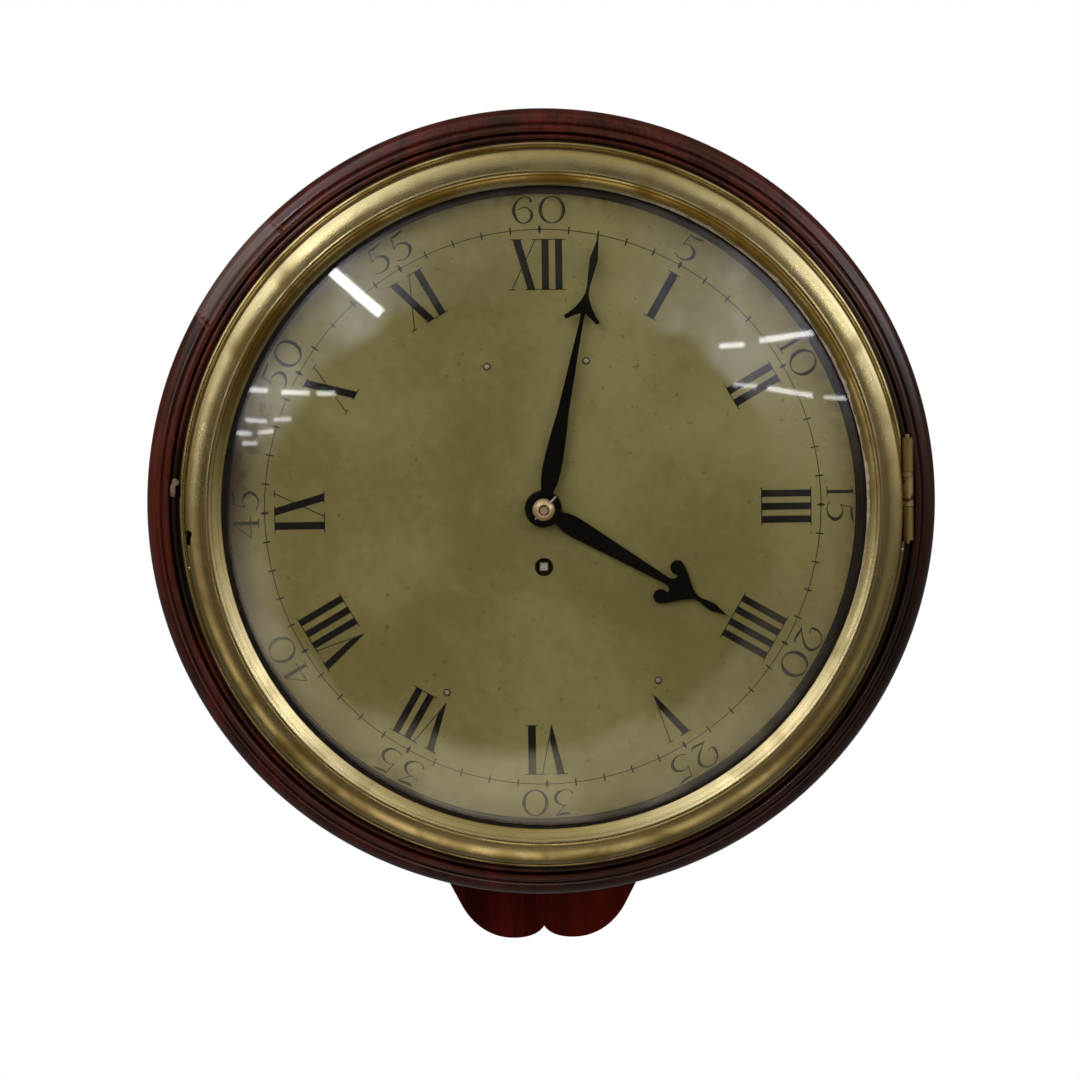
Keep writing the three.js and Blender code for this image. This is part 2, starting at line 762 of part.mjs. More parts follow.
function glass() {
  const ball = glassSphere();
  const rings = 5;
  const front = (radius) => glassFront + glassRise - ball + Math.sqrt(ball ** 2 - radius ** 2);
  const points = [];
  for (let ring = 0; ring <= rings; ring += 1) {
    const radius = glassRadius * ring / rings;
    points.push(new THREE.Vector2(radius, front(radius) - glassThickness));
  }
  for (let ring = rings; ring >= 0; ring -= 1) {
    const radius = glassRadius * ring / rings;
    points.push(new THREE.Vector2(radius, front(radius)));
  }
  return turned(points, ringSides);
}

function glassPutty() {
  const outer = glassRadius + seatGap;
  const front = glassRear - seatGap;
  const path = new THREE.Path().moveTo(outer - puttyWidth, front - puttyThickness);
  path.lineTo(outer, front - puttyThickness);
  path.lineTo(outer, front);
  path.lineTo(outer - puttyWidth, front);
  return turnedRing(path);
}

function knuckle(index) {
  const low = hingeHeight - hingeLength / 2 + index * knuckleLength + runningGap / 2;
  return barUpright(knuckleRadius, low, low + knuckleLength - runningGap, hingeX, hingeDepth, roundSides);
}

function pinBore() {
  const height = span(hingeHeight, hingeLength / 2 + hingePinProud);
  return barUpright(hingePinRadius + runningGap, ...height, hingeX, hingeDepth);
}

function bezelHingeLeaf() {
  const height = span(hingeHeight, (knuckleLength - runningGap) / 2);
  const leaf = block([hingeX - bezelLeafWidth, hingeX - hingePinRadius - runningGap], height,
    [bezelLeafRear, bezelLeafRear + leafThickness]);
  return cut(join(knuckle(1), leaf), pinBore());
}

function surroundHingeLeaf() {
  const half = hingeLength / 2 - runningGap / 2;
  const front = hingeDepth - knuckleRadius - runningGap;
  const rear = bezelSeat - knuckleLift - leafDepth;
  const width = span(hingeX, leafThickness / 2);
  const leaf = block(width, span(hingeHeight, half), [rear, front]);
  const webs = [-1, 1].map((end) => {
    const outer = hingeHeight + end * half;
    const inner = hingeHeight + end * (knuckleLength / 2 + runningGap / 2);
    return block(width, [Math.min(outer, inner), Math.max(outer, inner)], [front - 1, hingeDepth]);
  });
  return cut(join(leaf, ...webs, knuckle(0), knuckle(2)), pinBore());
}

function bezelHingePin() {
  const height = span(hingeHeight, hingeLength / 2 + hingePinProud);
  return barUpright(hingePinRadius, ...height, hingeX, hingeDepth);
}

// The lock's stem and cam, with its tongue hanging down, clear of the surround
function bezelLock() {
  const front = lockRear + lockCamThickness;
  const cam = bar(lockCamRadius, lockRear, front);
  const tongue = block([-tongueWidth / 2, tongueWidth / 2], [-tongueLength, 0], [lockRear, front]);
  return join(cam, tongue, bar(lockStemRadius, lockRear, front + lockStemLength));
}

// Dial, feet and hands

function dial() {
  const disc = spindle([[dialRadius, dialRear, dialFace]], ringSides);
  const through = (x, y, radius) => bar(radius, dialRear - 1, dialFace + 1, roundSides).translate(x, y, 0);
  const feet = Object.values(footPlaces).map(([x, y]) =>
    barAt([x, y], footRivetRadius + runningGap, dialRear - 1, dialFace + 1));
  const middle = through(0, 0, hourPipe + dialHoleClearance);
  return cut(disc, middle, through(fusee.x, fusee.y, windingHoleRadius), ...feet);
}

function dialFoot() {
  const shoulder = frontPlateFront + seatGap;
  const tail = frontPlateRear - footTenonReach;
  return spindle([[footTenonRadius, tail, shoulder], [footRadius, shoulder, dialSeat],
    [footRivetRadius, dialSeat, dialFace + footRivetRise]]);
}

function handBlank(half, pipe, rear) {
  const shape = mirroredShape(half);
  shape.holes.push(roundHole(0, 0, pipe - pipeStep + runningGap));
  return extruded(shape, rear, rear + handThickness, 8);
}

// Closes a hand's half outline round its boss, from the waist where the blade joins it
function addBoss(half, waist) {
  const start = Math.acos(waist / handBossRadius);
  half.lineTo(waist, handBossRadius * Math.sin(start));
  half.absarc(0, 0, handBossRadius, start, -Math.PI / 2, true);
}

function hourHand() {
  const heart = hourHandLength - hourHeartReach;
  const swellAt = 18.5;
  const half = new THREE.Path().moveTo(0, hourHandLength);
  half.quadraticCurveTo(0.6, hourHandLength - 4, 2, hourHandLength - 8.4);
  half.quadraticCurveTo(1.8, hourHandLength - 12.5, 1, hourHandLength - 15.5);
  half.lineTo(1.1, hourHandLength - 18);
  const side = hourHeartWidth + hourLobeRadius;
  half.bezierCurveTo(3.5, heart + 9, hourHeartWidth + 0.6, heart + 7, side, heart);
  half.absarc(hourHeartWidth, heart, hourLobeRadius, 0, -1.15 * Math.PI, true);
  half.quadraticCurveTo(3, heart + 3.4, 1.7, heart - 1);
  half.lineTo(hourHandSwell, swellAt);
  half.quadraticCurveTo(hourHandSwell, 12, 3.4, 9.4);
  addBoss(half, 3.4);
  return handBlank(half, hourPipe, hourHandRear);
}

function minuteHand() {
  const barb = minuteHandLength - minuteBarbReach;
  const swellAt = 24;
  const half = new THREE.Path().moveTo(0, minuteHandLength);
  half.quadraticCurveTo(0.6, minuteHandLength - 6, 2, minuteHandLength - 12.6);
  half.quadraticCurveTo(1.5, minuteHandLength - 20, 0.8, minuteHandLength - 26);
  half.lineTo(0.9, minuteHandLength - 30);
  half.quadraticCurveTo(3, barb + 5, minuteBarbWidth + minuteBarbRadius, barb);
  half.absarc(minuteBarbWidth, barb, minuteBarbRadius, 0, -0.8 * Math.PI, true);
  half.quadraticCurveTo(3, barb + 1.6, 1.1, barb + 2.4);
  half.lineTo(1, barb - 3);
  half.lineTo(2.8, 2 * swellAt);
  half.quadraticCurveTo(minuteHandSwell, swellAt + 6, minuteHandSwell, swellAt - 2);
  half.quadraticCurveTo(minuteHandSwell, 14, 3.2, 10);
  addBoss(half, 3.2);
  return handBlank(half, cannonPipe, minuteHandRear);
}

function handCollet() {
  const bore = arborTipRadius + runningGap;
  const path = new THREE.Path().moveTo(bore, colletRear);
  path.lineTo(colletRadius, colletRear);
  path.lineTo(colletRadius, colletRear + 0.8);
  path.quadraticCurveTo(colletRadius - 0.4, colletFront, bore + 0.6, colletFront);
  path.lineTo(bore, colletFront);
  return turnedRing(path, 16);
}

const handPinDepth = colletFront + runningGap + handPinRadius;

function handPin() {
  const half = handPinLength / 2;
  return barAcross(handPinRadius, -half, half, 0, handPinDepth).rotateZ(radians(handPinAngle));
}

// Movement frame

function plateShape() {
  const slope = (plateBottomHalf - plateTopHalf) / (plateTop - plateBottom);
  const shape = new THREE.Shape().moveTo(plateTopHalf - plateCorner, plateTop);
  shape.lineTo(-plateTopHalf + plateCorner, plateTop);
  shape.lineTo(-plateTopHalf - slope * plateCorner, plateTop - plateCorner);
  shape.lineTo(-plateBottomHalf + slope * plateCorner, plateBottom + plateCorner);
  shape.lineTo(-plateBottomHalf + plateCorner, plateBottom);
  shape.lineTo(plateBottomHalf - plateCorner, plateBottom);
  shape.lineTo(plateBottomHalf - slope * plateCorner, plateBottom + plateCorner);
  shape.lineTo(plateTopHalf + slope * plateCorner, plateTop - plateCorner);
  return shape;
}

function drill(shape, { x, y }, radius) {
  shape.holes.push(roundHole(x, y, radius + runningGap));
}

function frontPlate() {
  const shape = plateShape();
  drill(shape, fusee, fuseeArborRadius);
  drill(shape, centre, centreFrontRadius);
  drill(shape, barrel, barrelPivotRadius);
  for (const place of [third, escape, pallet]) drill(shape, place, pivotRadius);
  for (const [x, y] of Object.values(footPlaces)) drill(shape, { x, y }, footTenonRadius);
  for (const [x, y] of Object.values(pillarPlaces)) drill(shape, { x, y }, pillarTenon);
  const minuteStud = barAt([stud.x, stud.y], studRadius, frontPlateRear + 1, minutePinionFront + motionGap);
  return join(extruded(shape, frontPlateRear, frontPlateFront, 5), minuteStud);
}

function backPlate() {
  const shape = plateShape();
  drill(shape, fusee, fuseeTailRadius);
  drill(shape, centre, pivotRadius);
  drill(shape, barrel, barrelPivotRadius);
  for (const place of [third, escape]) drill(shape, place, pivotRadius);
  drill(shape, pallet, crutchCollar);
  for (const [x, y] of Object.values(pillarPlaces)) drill(shape, { x, y }, pillarTenon);
  return extruded(shape, backPlateRear, backPlateFront, 5);
}

function pillar() {
  const rear = backPlateFront + seatGap;
  const front = frontPlateRear - seatGap;
  const low = rear + pillarFlangeLength;
  const high = front - pillarFlangeLength;
  return spindle([[pillarTenon, backPlateRear, rear], [pillarFlange, rear, low], [pillarRadius, low, high],
    [pillarFlange, high, front], [pillarTenon, front, frontPlateFront + pillarTenonReach]]);
}

// The sections of an arbor from its rear pivot to the front plate, thin inside its pinion
function arborSections(module, middle) {
  const core = module * (pinionLeaves / 2 - pinionForm.dedendum) - runningGap;
  const rear = backPlateFront + runningGap;
  const [low, high] = span(middle, pinionLength / 2);
  return [[pivotRadius, backPlateRear, rear], [arborRadius, rear, low], [core, low, high],
    [arborRadius, high, frontPlateRear - runningGap]];
}

function pinionAt(module, towards, middle) {
  return pinion(pinionLeaves, module, pinionForm, towards, ...span(middle, pinionLength / 2));
}

const frontPivot = [pivotRadius, frontPlateRear - runningGap, frontPlateFront];

// Power: fusee, great wheel, barrel, mainspring and line

const fuseeBase = greatRear - runningGap;
const fuseeTip = fuseeBase - fuseeLength;

function fuseeCone() {
  const rear = backPlateFront + runningGap;
  const square = span(0, windingSquare / 2);
  const shaft = spindle([[fuseeTailRadius, backPlateRear, rear], [fuseeTailRadius, rear, fuseeTip],
    [fuseeTipRadius, fuseeTip, fuseeTip + 1], [fuseeBaseRadius, fuseeBase - 1, fuseeBase],
    [fuseeArborRadius, fuseeBase, frontPlateFront + runningGap]], roundSides);
  return join(shaft, block(square, square, [frontPlateFront, dialFace - windingSetback]));
}

function greatWheel() {
  const bore = fuseeArborRadius + runningGap;
  const phase = bearingOf(fusee, centre);
  const wheel = crossedWheel(greatTeeth, greatModule, wheelForm, phase, greatRear, greatFront);
  const hub = bar(bore + 2, greatRear, frontPlateRear - runningGap);
  return cut(join(wheel, hub), bar(bore, greatRear - 1, frontPlateRear + 1));
}

const barrelRear = backPlateFront + barrelEnd;
const barrelFront = frontPlateRear - barrelEnd;

function barrelDrum() {
  const bore = barrelArborRadius + runningGap;
  const inner = barrelRadius - barrelWall;
  const path = new THREE.Path().moveTo(bore, barrelRear);
  path.lineTo(barrelRadius, barrelRear);
  path.lineTo(barrelRadius, barrelFront);
  path.lineTo(bore, barrelFront);
  path.lineTo(bore, barrelFront - barrelWall);
  path.lineTo(inner, barrelFront - barrelWall);
  path.lineTo(inner, barrelRear + barrelWall);
  path.lineTo(bore, barrelRear + barrelWall);
  return turnedRing(path, roundSides);
}

// The barrel's arbor stands still, held by the set-up ratchet in front of the plate
function barrelArbor() {
  const rear = backPlateFront + runningGap;
  const front = frontPlateRear - runningGap;
  const ratchetRear = frontPlateFront + runningGap;
  const shaft = spindle([[barrelPivotRadius, backPlateRear, rear], [barrelArborRadius, rear, front],
    [barrelPivotRadius, front, ratchetRear + ratchetThickness]]);
  const points = [];
  for (let tooth = 0; tooth < ratchetTeeth; tooth += 1) {
    const step = 360 / ratchetTeeth;
    points.push(polar(ratchetRadius, tooth * step), polar(ratchetRadius - 1.5, (tooth + 0.2) * step));
  }
  return join(shaft, extruded(new THREE.Shape(points), ratchetRear, ratchetRear + ratchetThickness));
}

// A flat spiral strip, standing on edge inside the barrel
function mainspring() {
  const stepsPerTurn = 12;
  const steps = springTurns * stepsPerTurn;
  const sag = 1 / Math.cos(Math.PI / stepsPerTurn);
  const inner = (barrelArborRadius + 2 * runningGap) * sag;
  const outer = (barrelRadius - barrelWall - runningGap) * Math.cos(Math.PI / roundSides) - springThickness;
  const inside = [];
  const outside = [];
  for (let step = 0; step <= steps; step += 1) {
    const radius = inner + (outer - inner) * step / steps;
    const angle = step * 360 / stepsPerTurn;
    inside.push(polar(radius, angle));
    outside.push(polar(radius + springThickness, angle));
  }
  const middle = (barrelRear + barrelFront) / 2;
  const shape = new THREE.Shape([...outside, ...inside.reverse()]);
  return extruded(shape, middle - springHeight / 2, middle + springHeight / 2);
}

// The gut line: wound round the barrel, across to the fusee and round its cone
function fuseeLine() {
  const stepsPerTurn = 12;
  const sag = 1 / Math.cos(Math.PI / stepsPerTurn);
  const clear = 2 * lineRadius + runningGap;
  const towards = bearingOf(barrel, fusee);
  const run = fuseeLineTurns * linePitch;
  const crossing = fuseeBase - 3 - run;
  const points = [];
  const barrelSteps = barrelLineTurns * stepsPerTurn;
  const onBarrel = (barrelRadius + clear) * sag;
  const coneRadius = (depth) => fuseeTipRadius
    + (fuseeBaseRadius - fuseeTipRadius) * (depth - fuseeTip - 1) / (fuseeLength - 2);
  const lean = Math.asin((onBarrel - (coneRadius(crossing) + clear) * sag) / barrelDistance) * 180 / Math.PI;
  const leave = towards + 90 - lean;
  for (let step = 0; step <= barrelSteps; step += 1) {
    const back = barrelSteps - step;
    const at = polar(onBarrel, leave + back * 360 / stepsPerTurn).add(barrel);
    points.push(new THREE.Vector3(at.x, at.y, crossing - back * linePitch / stepsPerTurn));
  }
  for (let step = 0; step <= fuseeLineTurns * stepsPerTurn; step += 1) {
    const depth = crossing + step * linePitch / stepsPerTurn;
    const at = polar((coneRadius(depth) + clear) * sag, leave - step * 360 / stepsPerTurn).add(fusee);
    points.push(new THREE.Vector3(at.x, at.y, depth));
  }
  const section = new THREE.Shape([0, 90, 180, 270].map((corner) => polar(lineRadius, corner)));
  const route = new THREE.CatmullRomCurve3(points);
  return new THREE.ExtrudeGeometry(section, { steps: points.length - 1, extrudePath: route });
}

// Going train

function centreWheel() {
  const pipeEnd = minuteHandFront;
  const middle = (greatRear + greatFront) / 2;
  const shaft = spindle([...arborSections(greatModule, middle),
    [centreFrontRadius, frontPlateRear - runningGap, pipeEnd], [arborTipRadius, pipeEnd, arborTip]]);
  const wheel = crossedWheel(centreTeeth, centreModule, wheelForm, bearingOf(centre, third),
    centreRear, centreRear + wheelThickness);
  const leaves = pinionAt(greatModule, bearingOf(centre, fusee), middle);
  const pinHole = barAcross(handPinRadius + runningGap, -colletRadius, colletRadius, 0, handPinDepth)
    .rotateZ(radians(handPinAngle));
  return cut(join(shaft, wheel, leaves), pinHole);
}

function thirdWheel() {
  const wheel = crossedWheel(thirdTeeth, thirdModule, wheelForm, bearingOf(third, escape),
    thirdRear, thirdRear + wheelThickness);
  const middle = centreRear + wheelThickness / 2;
  const shaft = spindle([...arborSections(centreModule, middle), frontPivot]);
  return join(shaft, wheel, pinionAt(centreModule, bearingOf(third, centre), middle));
}

function escapeWheel() {
  const step = 360 / escapeTeeth;
  const root = escapeRadius - escapeToothDepth;
  const points = [];
  for (let tooth = 0; tooth < escapeTeeth; tooth += 1) {
    points.push(polar(escapeRadius, tooth * step), polar(root, (tooth + 0.2) * step),
      polar(root, (tooth + 0.6) * step));
  }
  const shape = addCrossings(new THREE.Shape(points), root - wheelRim, wheelHub);
  const wheel = extruded(shape, escapeRear, escapeRear + wheelThickness);
  const middle = thirdRear + wheelThickness / 2;
  const shaft = spindle([...arborSections(thirdModule, middle), frontPivot]);
  return join(shaft, wheel, pinionAt(thirdModule, bearingOf(escape, third), middle));
}

// Escapement and pendulum

// The anchor with its arbor: its nibs stay just outside the circle of the escape wheel's tips
function anchor() {
  const nib = polar(escapeRadius + palletClearance, 90 - palletHalfAngle);
  const nibX = nib.x + 0.6;
  const nibY = nib.y - palletDrop + 0.6;
  const half = new THREE.Path().moveTo(0, anchorHub + 1);
  half.lineTo(anchorHub - 0.5, anchorHub - 1);
  half.lineTo(nibX - 1, nibY + 7.5);
  half.lineTo(nibX + 2.4, nibY - 0.3);
  half.lineTo(nibX, nibY);
  half.lineTo(nibX - 3, nibY + 5);
  half.lineTo(anchorHub - 1, -anchorHub + 1.8);
  half.lineTo(0, -anchorHub + 0.8);
  const body = extruded(mirroredShape(half), palletRear, palletRear + palletThickness);
  const rear = pendulumPlane + cockBridge + runningGap;
  const front = frontPlateRear - runningGap;
  const shaft = spindle([[pivotRadius, rear, rear + cockBridge + runningGap],
    [arborRadius, rear + cockBridge + runningGap, front], [pivotRadius, front, frontPlateFront]]);
  return join(body, shaft);
}

const crutchFront = backPlateRear - crutchSetback;
const crutchRear = crutchFront - crutchThickness;

function crutch() {
  const low = -crutchLength;
  const inner = rodRadius + runningGap;
  const outer = inner + forkWidth;
  const collar = bar(crutchCollar, crutchRear, crutchFront);
  const arm = block([-forkWidth, forkWidth], [low, 0], [crutchRear, crutchFront]);
  const bridge = block([-outer, outer], [low - 2, low + 2], [crutchRear, crutchFront]);
  const prongs = [[inner, outer], [-outer, -inner]].map((width) =>
    block(width, [low - 2, low + 2], [pendulumPlane - rodRadius, crutchFront]));
  const bore = bar(arborRadius + runningGap, crutchRear - 1, crutchFront + 1);
  return cut(join(collar, arm, bridge, ...prongs), bore);
}

const cockFront = backPlateRear - seatGap;
const cockLow = pallet.y + cockArmRise;
const cockHigh = cockLow + cockArmHeight;
const cockRear = backPlateRear - cockReach;
const bridgeRear = pendulumPlane + cockBridge + runningGap;

function backCock() {
  const footRear = cockFront - cockFootThickness;
  const foot = block(span(0, cockFootHalfWidth), [cockLow - 4, cockHigh + 2], [footRear, cockFront]);
  const arm = block(span(0, cockArmHalfWidth), [cockLow, cockHigh], [cockRear, cockFront]);
  const bridgeWidth = span(0, cockArmHalfWidth - 2);
  const bridge = block(bridgeWidth, [pallet.y - 6, cockHigh], [bridgeRear, bridgeRear + cockBridge]);
  const pivot = barAt([0, pallet.y], pivotRadius + runningGap, bridgeRear - 1, bridgeRear + cockBridge + 1);
  const slotWidth = span(0, springHalfThickness + runningGap);
  const slotDepth = span(pendulumPlane, springHalfWidth + runningGap);
  const slot = block(slotWidth, [cockLow - 1, cockHigh + 1], slotDepth);
  const bridgeSlot = block(slotWidth, [pallet.y + 2, cockHigh + 1], slotDepth);
  return cut(join(foot, arm, bridge), pivot, slot, bridgeSlot);
}

function suspensionSpring() {
  const blockLow = cockHigh + seatGap;
  const depth = [pendulumPlane - springHalfWidth, pendulumPlane + springHalfWidth];
  const chops = block([-springBlockHalf, springBlockHalf], [blockLow, blockLow + springBlockHeight], depth);
  const strip = block([-springHalfThickness, springHalfThickness], [pallet.y - springDrop, blockLow + 1],
    [pendulumPlane - springHalfWidth, bridgeRear - runningGap]);
  return join(chops, strip);
}

const bobHeight = pallet.y - pendulumLength;
const nutTop = bobHeight - bobRadius - seatGap;
const rodTop = pallet.y - springDrop - seatGap;
const rodBottom = nutTop - nutHeight - rodTail;

function pendulumRod() {
  return barUpright(rodRadius, rodBottom, rodTop, 0, pendulumPlane);
}

function pendulumBob() {
  const half = bobThickness / 2;
  const path = new THREE.Path().moveTo(0, pendulumPlane - half);
  path.quadraticCurveTo(bobRadius * 0.7, pendulumPlane - half, bobRadius, pendulumPlane - 1);
  path.lineTo(bobRadius, pendulumPlane + 1);
  path.quadraticCurveTo(bobRadius * 0.7, pendulumPlane + half, 0, pendulumPlane + half);
  const lens = turned(path.getPoints(4), roundSides);
  return cut(lens, barUpright(rodRadius + runningGap, -bobRadius - 1, bobRadius + 1, 0, pendulumPlane));
}

function ratingNut() {
  const nut = barUpright(nutRadius, nutTop - nutHeight, nutTop, 0, pendulumPlane, 16);
  return cut(nut, barUpright(rodRadius + runningGap, nutTop - nutHeight - 1, nutTop + 1, 0, pendulumPlane));
}

// Motion work

const minuteFront = cannonRear + wheelThickness;
const minutePinionRear = cannonFront + motionGap / 2;
const minutePinionFront = hourRear + wheelThickness + motionGap / 2;

function cannonPinion() {
  const towards = bearingOf(centre, stud);
  const teeth = pinion(cannonTeeth, cannonModule, motionForm, towards, cannonRear, cannonFront);
  const pipe = spindle([[cannonPipe, cannonRear, minuteHandRear - runningGap],
    [cannonPipe - pipeStep, minuteHandRear - runningGap, minuteHandFront]]);
  return cut(join(teeth, pipe), bar(centreFrontRadius + runningGap, cannonRear - 1, minuteHandFront + 1));
}

function minuteWheel() {
  const shape = addCrossings(toothedShape(minuteTeeth, cannonModule, motionForm, bearingOf(stud, centre)),
    cannonModule * minuteTeeth / 2 - 2 * wheelRim + 1, wheelHub + 1);
  const wheel = extruded(shape, cannonRear, minuteFront);
  const hub = bar(studRadius + runningGap + 1, cannonRear, minutePinionFront);
  const leaves = pinion(minutePinionTeeth, hourModule, motionForm, bearingOf(stud, centre),
    minutePinionRear, minutePinionFront);
  return cut(join(wheel, hub, leaves), bar(studRadius + runningGap, cannonRear - 1, minutePinionFront + 1));
}

function hourWheel() {
  const teeth = toothedShape(hourTeeth, hourModule, motionForm, bearingOf(centre, stud));
  const wheel = extruded(teeth, hourRear, hourRear + wheelThickness);
  const pipe = spindle([[hourPipe, hourRear, hourHandRear - runningGap],
    [hourPipe - pipeStep, hourHandRear - runningGap, hourHandFront]]);
  return cut(join(wheel, pipe), bar(cannonPipe + runningGap, hourRear - 1, hourHandFront + 1));
}

// Assembly

place('surround', surround(), mahogany());
place('batten_left', batten(-1), darkWood());
place('batten_right', batten(1), darkWood());
for (const [side, sideName] of [[-1, 'left'], [1, 'right']]) {
  place(`peg_upper_${sideName}`, peg(side, pegHeight), darkWood());
  place(`peg_lower_${sideName}`, peg(side, -pegHeight), darkWood());
}
place('backboard', backboard(), darkWood());
place('hanging_plate', hangingPlate(), movementBrass());
place('box_top', boxTop(), darkWood());
place('box_bottom', boxBottom(), darkWood());
place('box_left', boxSide(-1), darkWood());
place('box_right', boxSide(1), darkWood());

const pinReach = doorPinEmbed;
place('side_door', sideDoor(), darkWood());
place('side_door_pin', barUpright(doorPinRadius, sideDoorLow - pinReach, sideDoorHigh + pinReach,
  sideDoorPinX, sideDoorPinDepth), brightSteel());
const sideButton = turnButton().rotateZ(-Math.PI / 2).rotateY(Math.PI / 2);
sideButton.translate(boxHalfWidth, sideButtonHeight, sideButtonDepth);
place('side_door_button', sideButton, movementBrass());
place('bottom_door', bottomDoor(), darkWood());
const bottomReach = bottomDoorHalfWidth + pinReach;
place('bottom_door_pin', barAcross(doorPinRadius, -bottomReach, bottomReach,
  bottomDoorPinHeight, bottomDoorPinDepth), brightSteel());
const bottomButton = turnButton().rotateX(Math.PI / 2);
bottomButton.translate(0, boxBottomEdge, bottomButtonDepth);
place('bottom_door_button', bottomButton, movementBrass());

place('bezel', bezel(), castBrass());
place('glass', glass(), clearGlass());
place('glass_putty', glassPutty(), puttyGrey());
place('bezel_hinge_leaf', bezelHingeLeaf(), castBrass());
place('surround_hinge_leaf', surroundHingeLeaf(), castBrass());
place('bezel_hinge_pin', bezelHingePin(), brightSteel());
place('bezel_lock', bezelLock(), castBrass(), [lockX, lockHeight]);

place('dial', dial(), dialBrass());
for (const [name, at] of Object.entries(footPlaces)) {
  place(`dial_foot_${name}`, dialFoot(), movementBrass(), at);
}
place('hour_hand', hourHand(), bluedSteel(), [0, 0], -hourHandAngle);
place('minute_hand', minuteHand(), bluedSteel(), [0, 0], -minuteHandAngle);
place('hand_collet', handCollet(), movementBrass());
place('hand_pin', handPin(), brightSteel());

place('front_plate', frontPlate(), movementBrass());
place('back_plate', backPlate(), movementBrass());
for (const [name, at] of Object.entries(pillarPlaces)) {
  place(`pillar_${name}`, pillar(), movementBrass(), at);
}
place('fusee', fuseeCone(), movementBrass(), [fusee.x, fusee.y]);
place('great_wheel', greatWheel(), movementBrass(), [fusee.x, fusee.y]);
place('barrel', barrelDrum(), movementBrass(), [barrel.x, barrel.y]);
place('barrel_arbor', barrelArbor(), brightSteel(), [barrel.x, barrel.y]);
place('mainspring', mainspring(), bluedSteel(), [barrel.x, barrel.y]);
place('fusee_line', fuseeLine(), gutBrown());
place('centre_wheel', centreWheel(), movementBrass());
place('third_wheel', thirdWheel(), movementBrass(), [third.x, third.y]);
place('escape_wheel', escapeWheel(), movementBrass(), [escape.x, escape.y]);
place('anchor', anchor(), brightSteel(), [pallet.x, pallet.y]);
place('crutch', crutch(), brightSteel(), [pallet.x, pallet.y]);
place('back_cock', backCock(), movementBrass());
place('suspension_spring', suspensionSpring(), brightSteel());
place('pendulum_rod', pendulumRod(), brightSteel());
place('pendulum_bob', pendulumBob(), movementBrass(), [0, bobHeight]);
place('rating_nut', ratingNut(), movementBrass());
place('cannon_pinion', cannonPinion(), brightSteel());
place('minute_wheel', minuteWheel(), movementBrass(), [stud.x, stud.y]);
place('hour_wheel', hourWheel(), movementBrass());

clock.rotation.x = Math.PI / 2;

export default clock;
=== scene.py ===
"""The looks of a round dial wall clock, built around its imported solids.

Sizes are in millimetres in the dial's own frame: x to the right, y up and depth out from the wall.
"""

import functools
import json
import logging
import math
from dataclasses import dataclass
from enum import Enum
from typing import Any, Sequence, Union

import bmesh
import bpy
from mathutils import Matrix, Vector
from mathutils.geometry import delaunay_2d_cdt


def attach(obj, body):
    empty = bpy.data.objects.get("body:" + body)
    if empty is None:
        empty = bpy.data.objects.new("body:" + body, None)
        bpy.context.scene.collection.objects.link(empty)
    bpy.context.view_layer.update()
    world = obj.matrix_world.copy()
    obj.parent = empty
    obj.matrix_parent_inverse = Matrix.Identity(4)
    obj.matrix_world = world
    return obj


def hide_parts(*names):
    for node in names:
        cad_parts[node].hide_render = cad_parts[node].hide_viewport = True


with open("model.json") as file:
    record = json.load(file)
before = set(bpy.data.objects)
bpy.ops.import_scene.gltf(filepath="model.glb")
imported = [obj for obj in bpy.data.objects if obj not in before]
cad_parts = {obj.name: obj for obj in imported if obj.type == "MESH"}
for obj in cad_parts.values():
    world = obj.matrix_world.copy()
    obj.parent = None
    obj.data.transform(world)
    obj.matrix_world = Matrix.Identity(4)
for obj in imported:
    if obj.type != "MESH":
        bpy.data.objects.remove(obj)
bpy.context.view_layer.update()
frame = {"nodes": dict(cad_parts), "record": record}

LOG = logging.getLogger("dial_clock")
MM = 0.001
MERGE = 2e-7
CLOSE = 1e-4
SEGMENTS = 256
SHARP = 35.0
FINE_SHARP = 20.0
FLAT_SHARP = 14.0
DIAL_FRAME = Matrix(((MM, 0, 0, 0), (0, 0, -MM, 0), (0, MM, 0, 0), (0, 0, 0, 1)))

Point = tuple[float, float]
Stop = tuple[float, float, float]
Spot = tuple[float, float, float]
Colour = tuple[float, float, float, float]
Piece = bpy.types.Object

WHITE: Colour = (1.0, 1.0, 1.0, 1.0)


def tint(red: float, green: float, blue: float) -> Colour:
    """Gives the linear colour of a screen colour.

    Args:
        red: The red of the screen colour, from 0 to 255.
        green: The green of the screen colour.
        blue: The blue of the screen colour.

    Returns:
        The linear colour, with full alpha.
    """
    def linear(level: float) -> float:
        """Undoes the screen curve of one channel."""
        share = level / 255
        return share / 12.92 if share <= 0.04045 else ((share + 0.055) / 1.055) ** 2.4
    return linear(red), linear(green), linear(blue), 1.0


def darker(colour: Colour, share: float) -> Colour:
    """Gives a colour with only a share of its light."""
    return tuple(share * level for level in colour[:3]) + (1.0,)


class Body(Enum):
    """The moving bodies that dressed pieces ride on."""

    CASE = "case"
    BEZEL = "bezel_door"
    MINUTE = "minute_hand_group"
    HOUR = "hour_hand_group"
    CENTRE = "centre_wheel_group"
    FUSEE = "fusee_group"


class Slot(Enum):
    """The material slots of the record."""

    MAHOGANY = "mahogany"
    DARK_WOOD = "dark_wood"
    CAST_BRASS = "cast_brass"
    MOVEMENT_BRASS = "movement_brass"
    SILVERED = "silvered_brass"
    BLUED = "blued_steel"
    STEEL = "steel"
    GLASS = "glass"
    PUTTY = "putty"
    GUT = "gut"


class Grain(Enum):
    """The way that the fibres of a board run, as a stretch of its texture."""

    ACROSS = (0.05, 1.0, 1.0)
    UPRIGHT = (1.0, 1.0, 0.05)


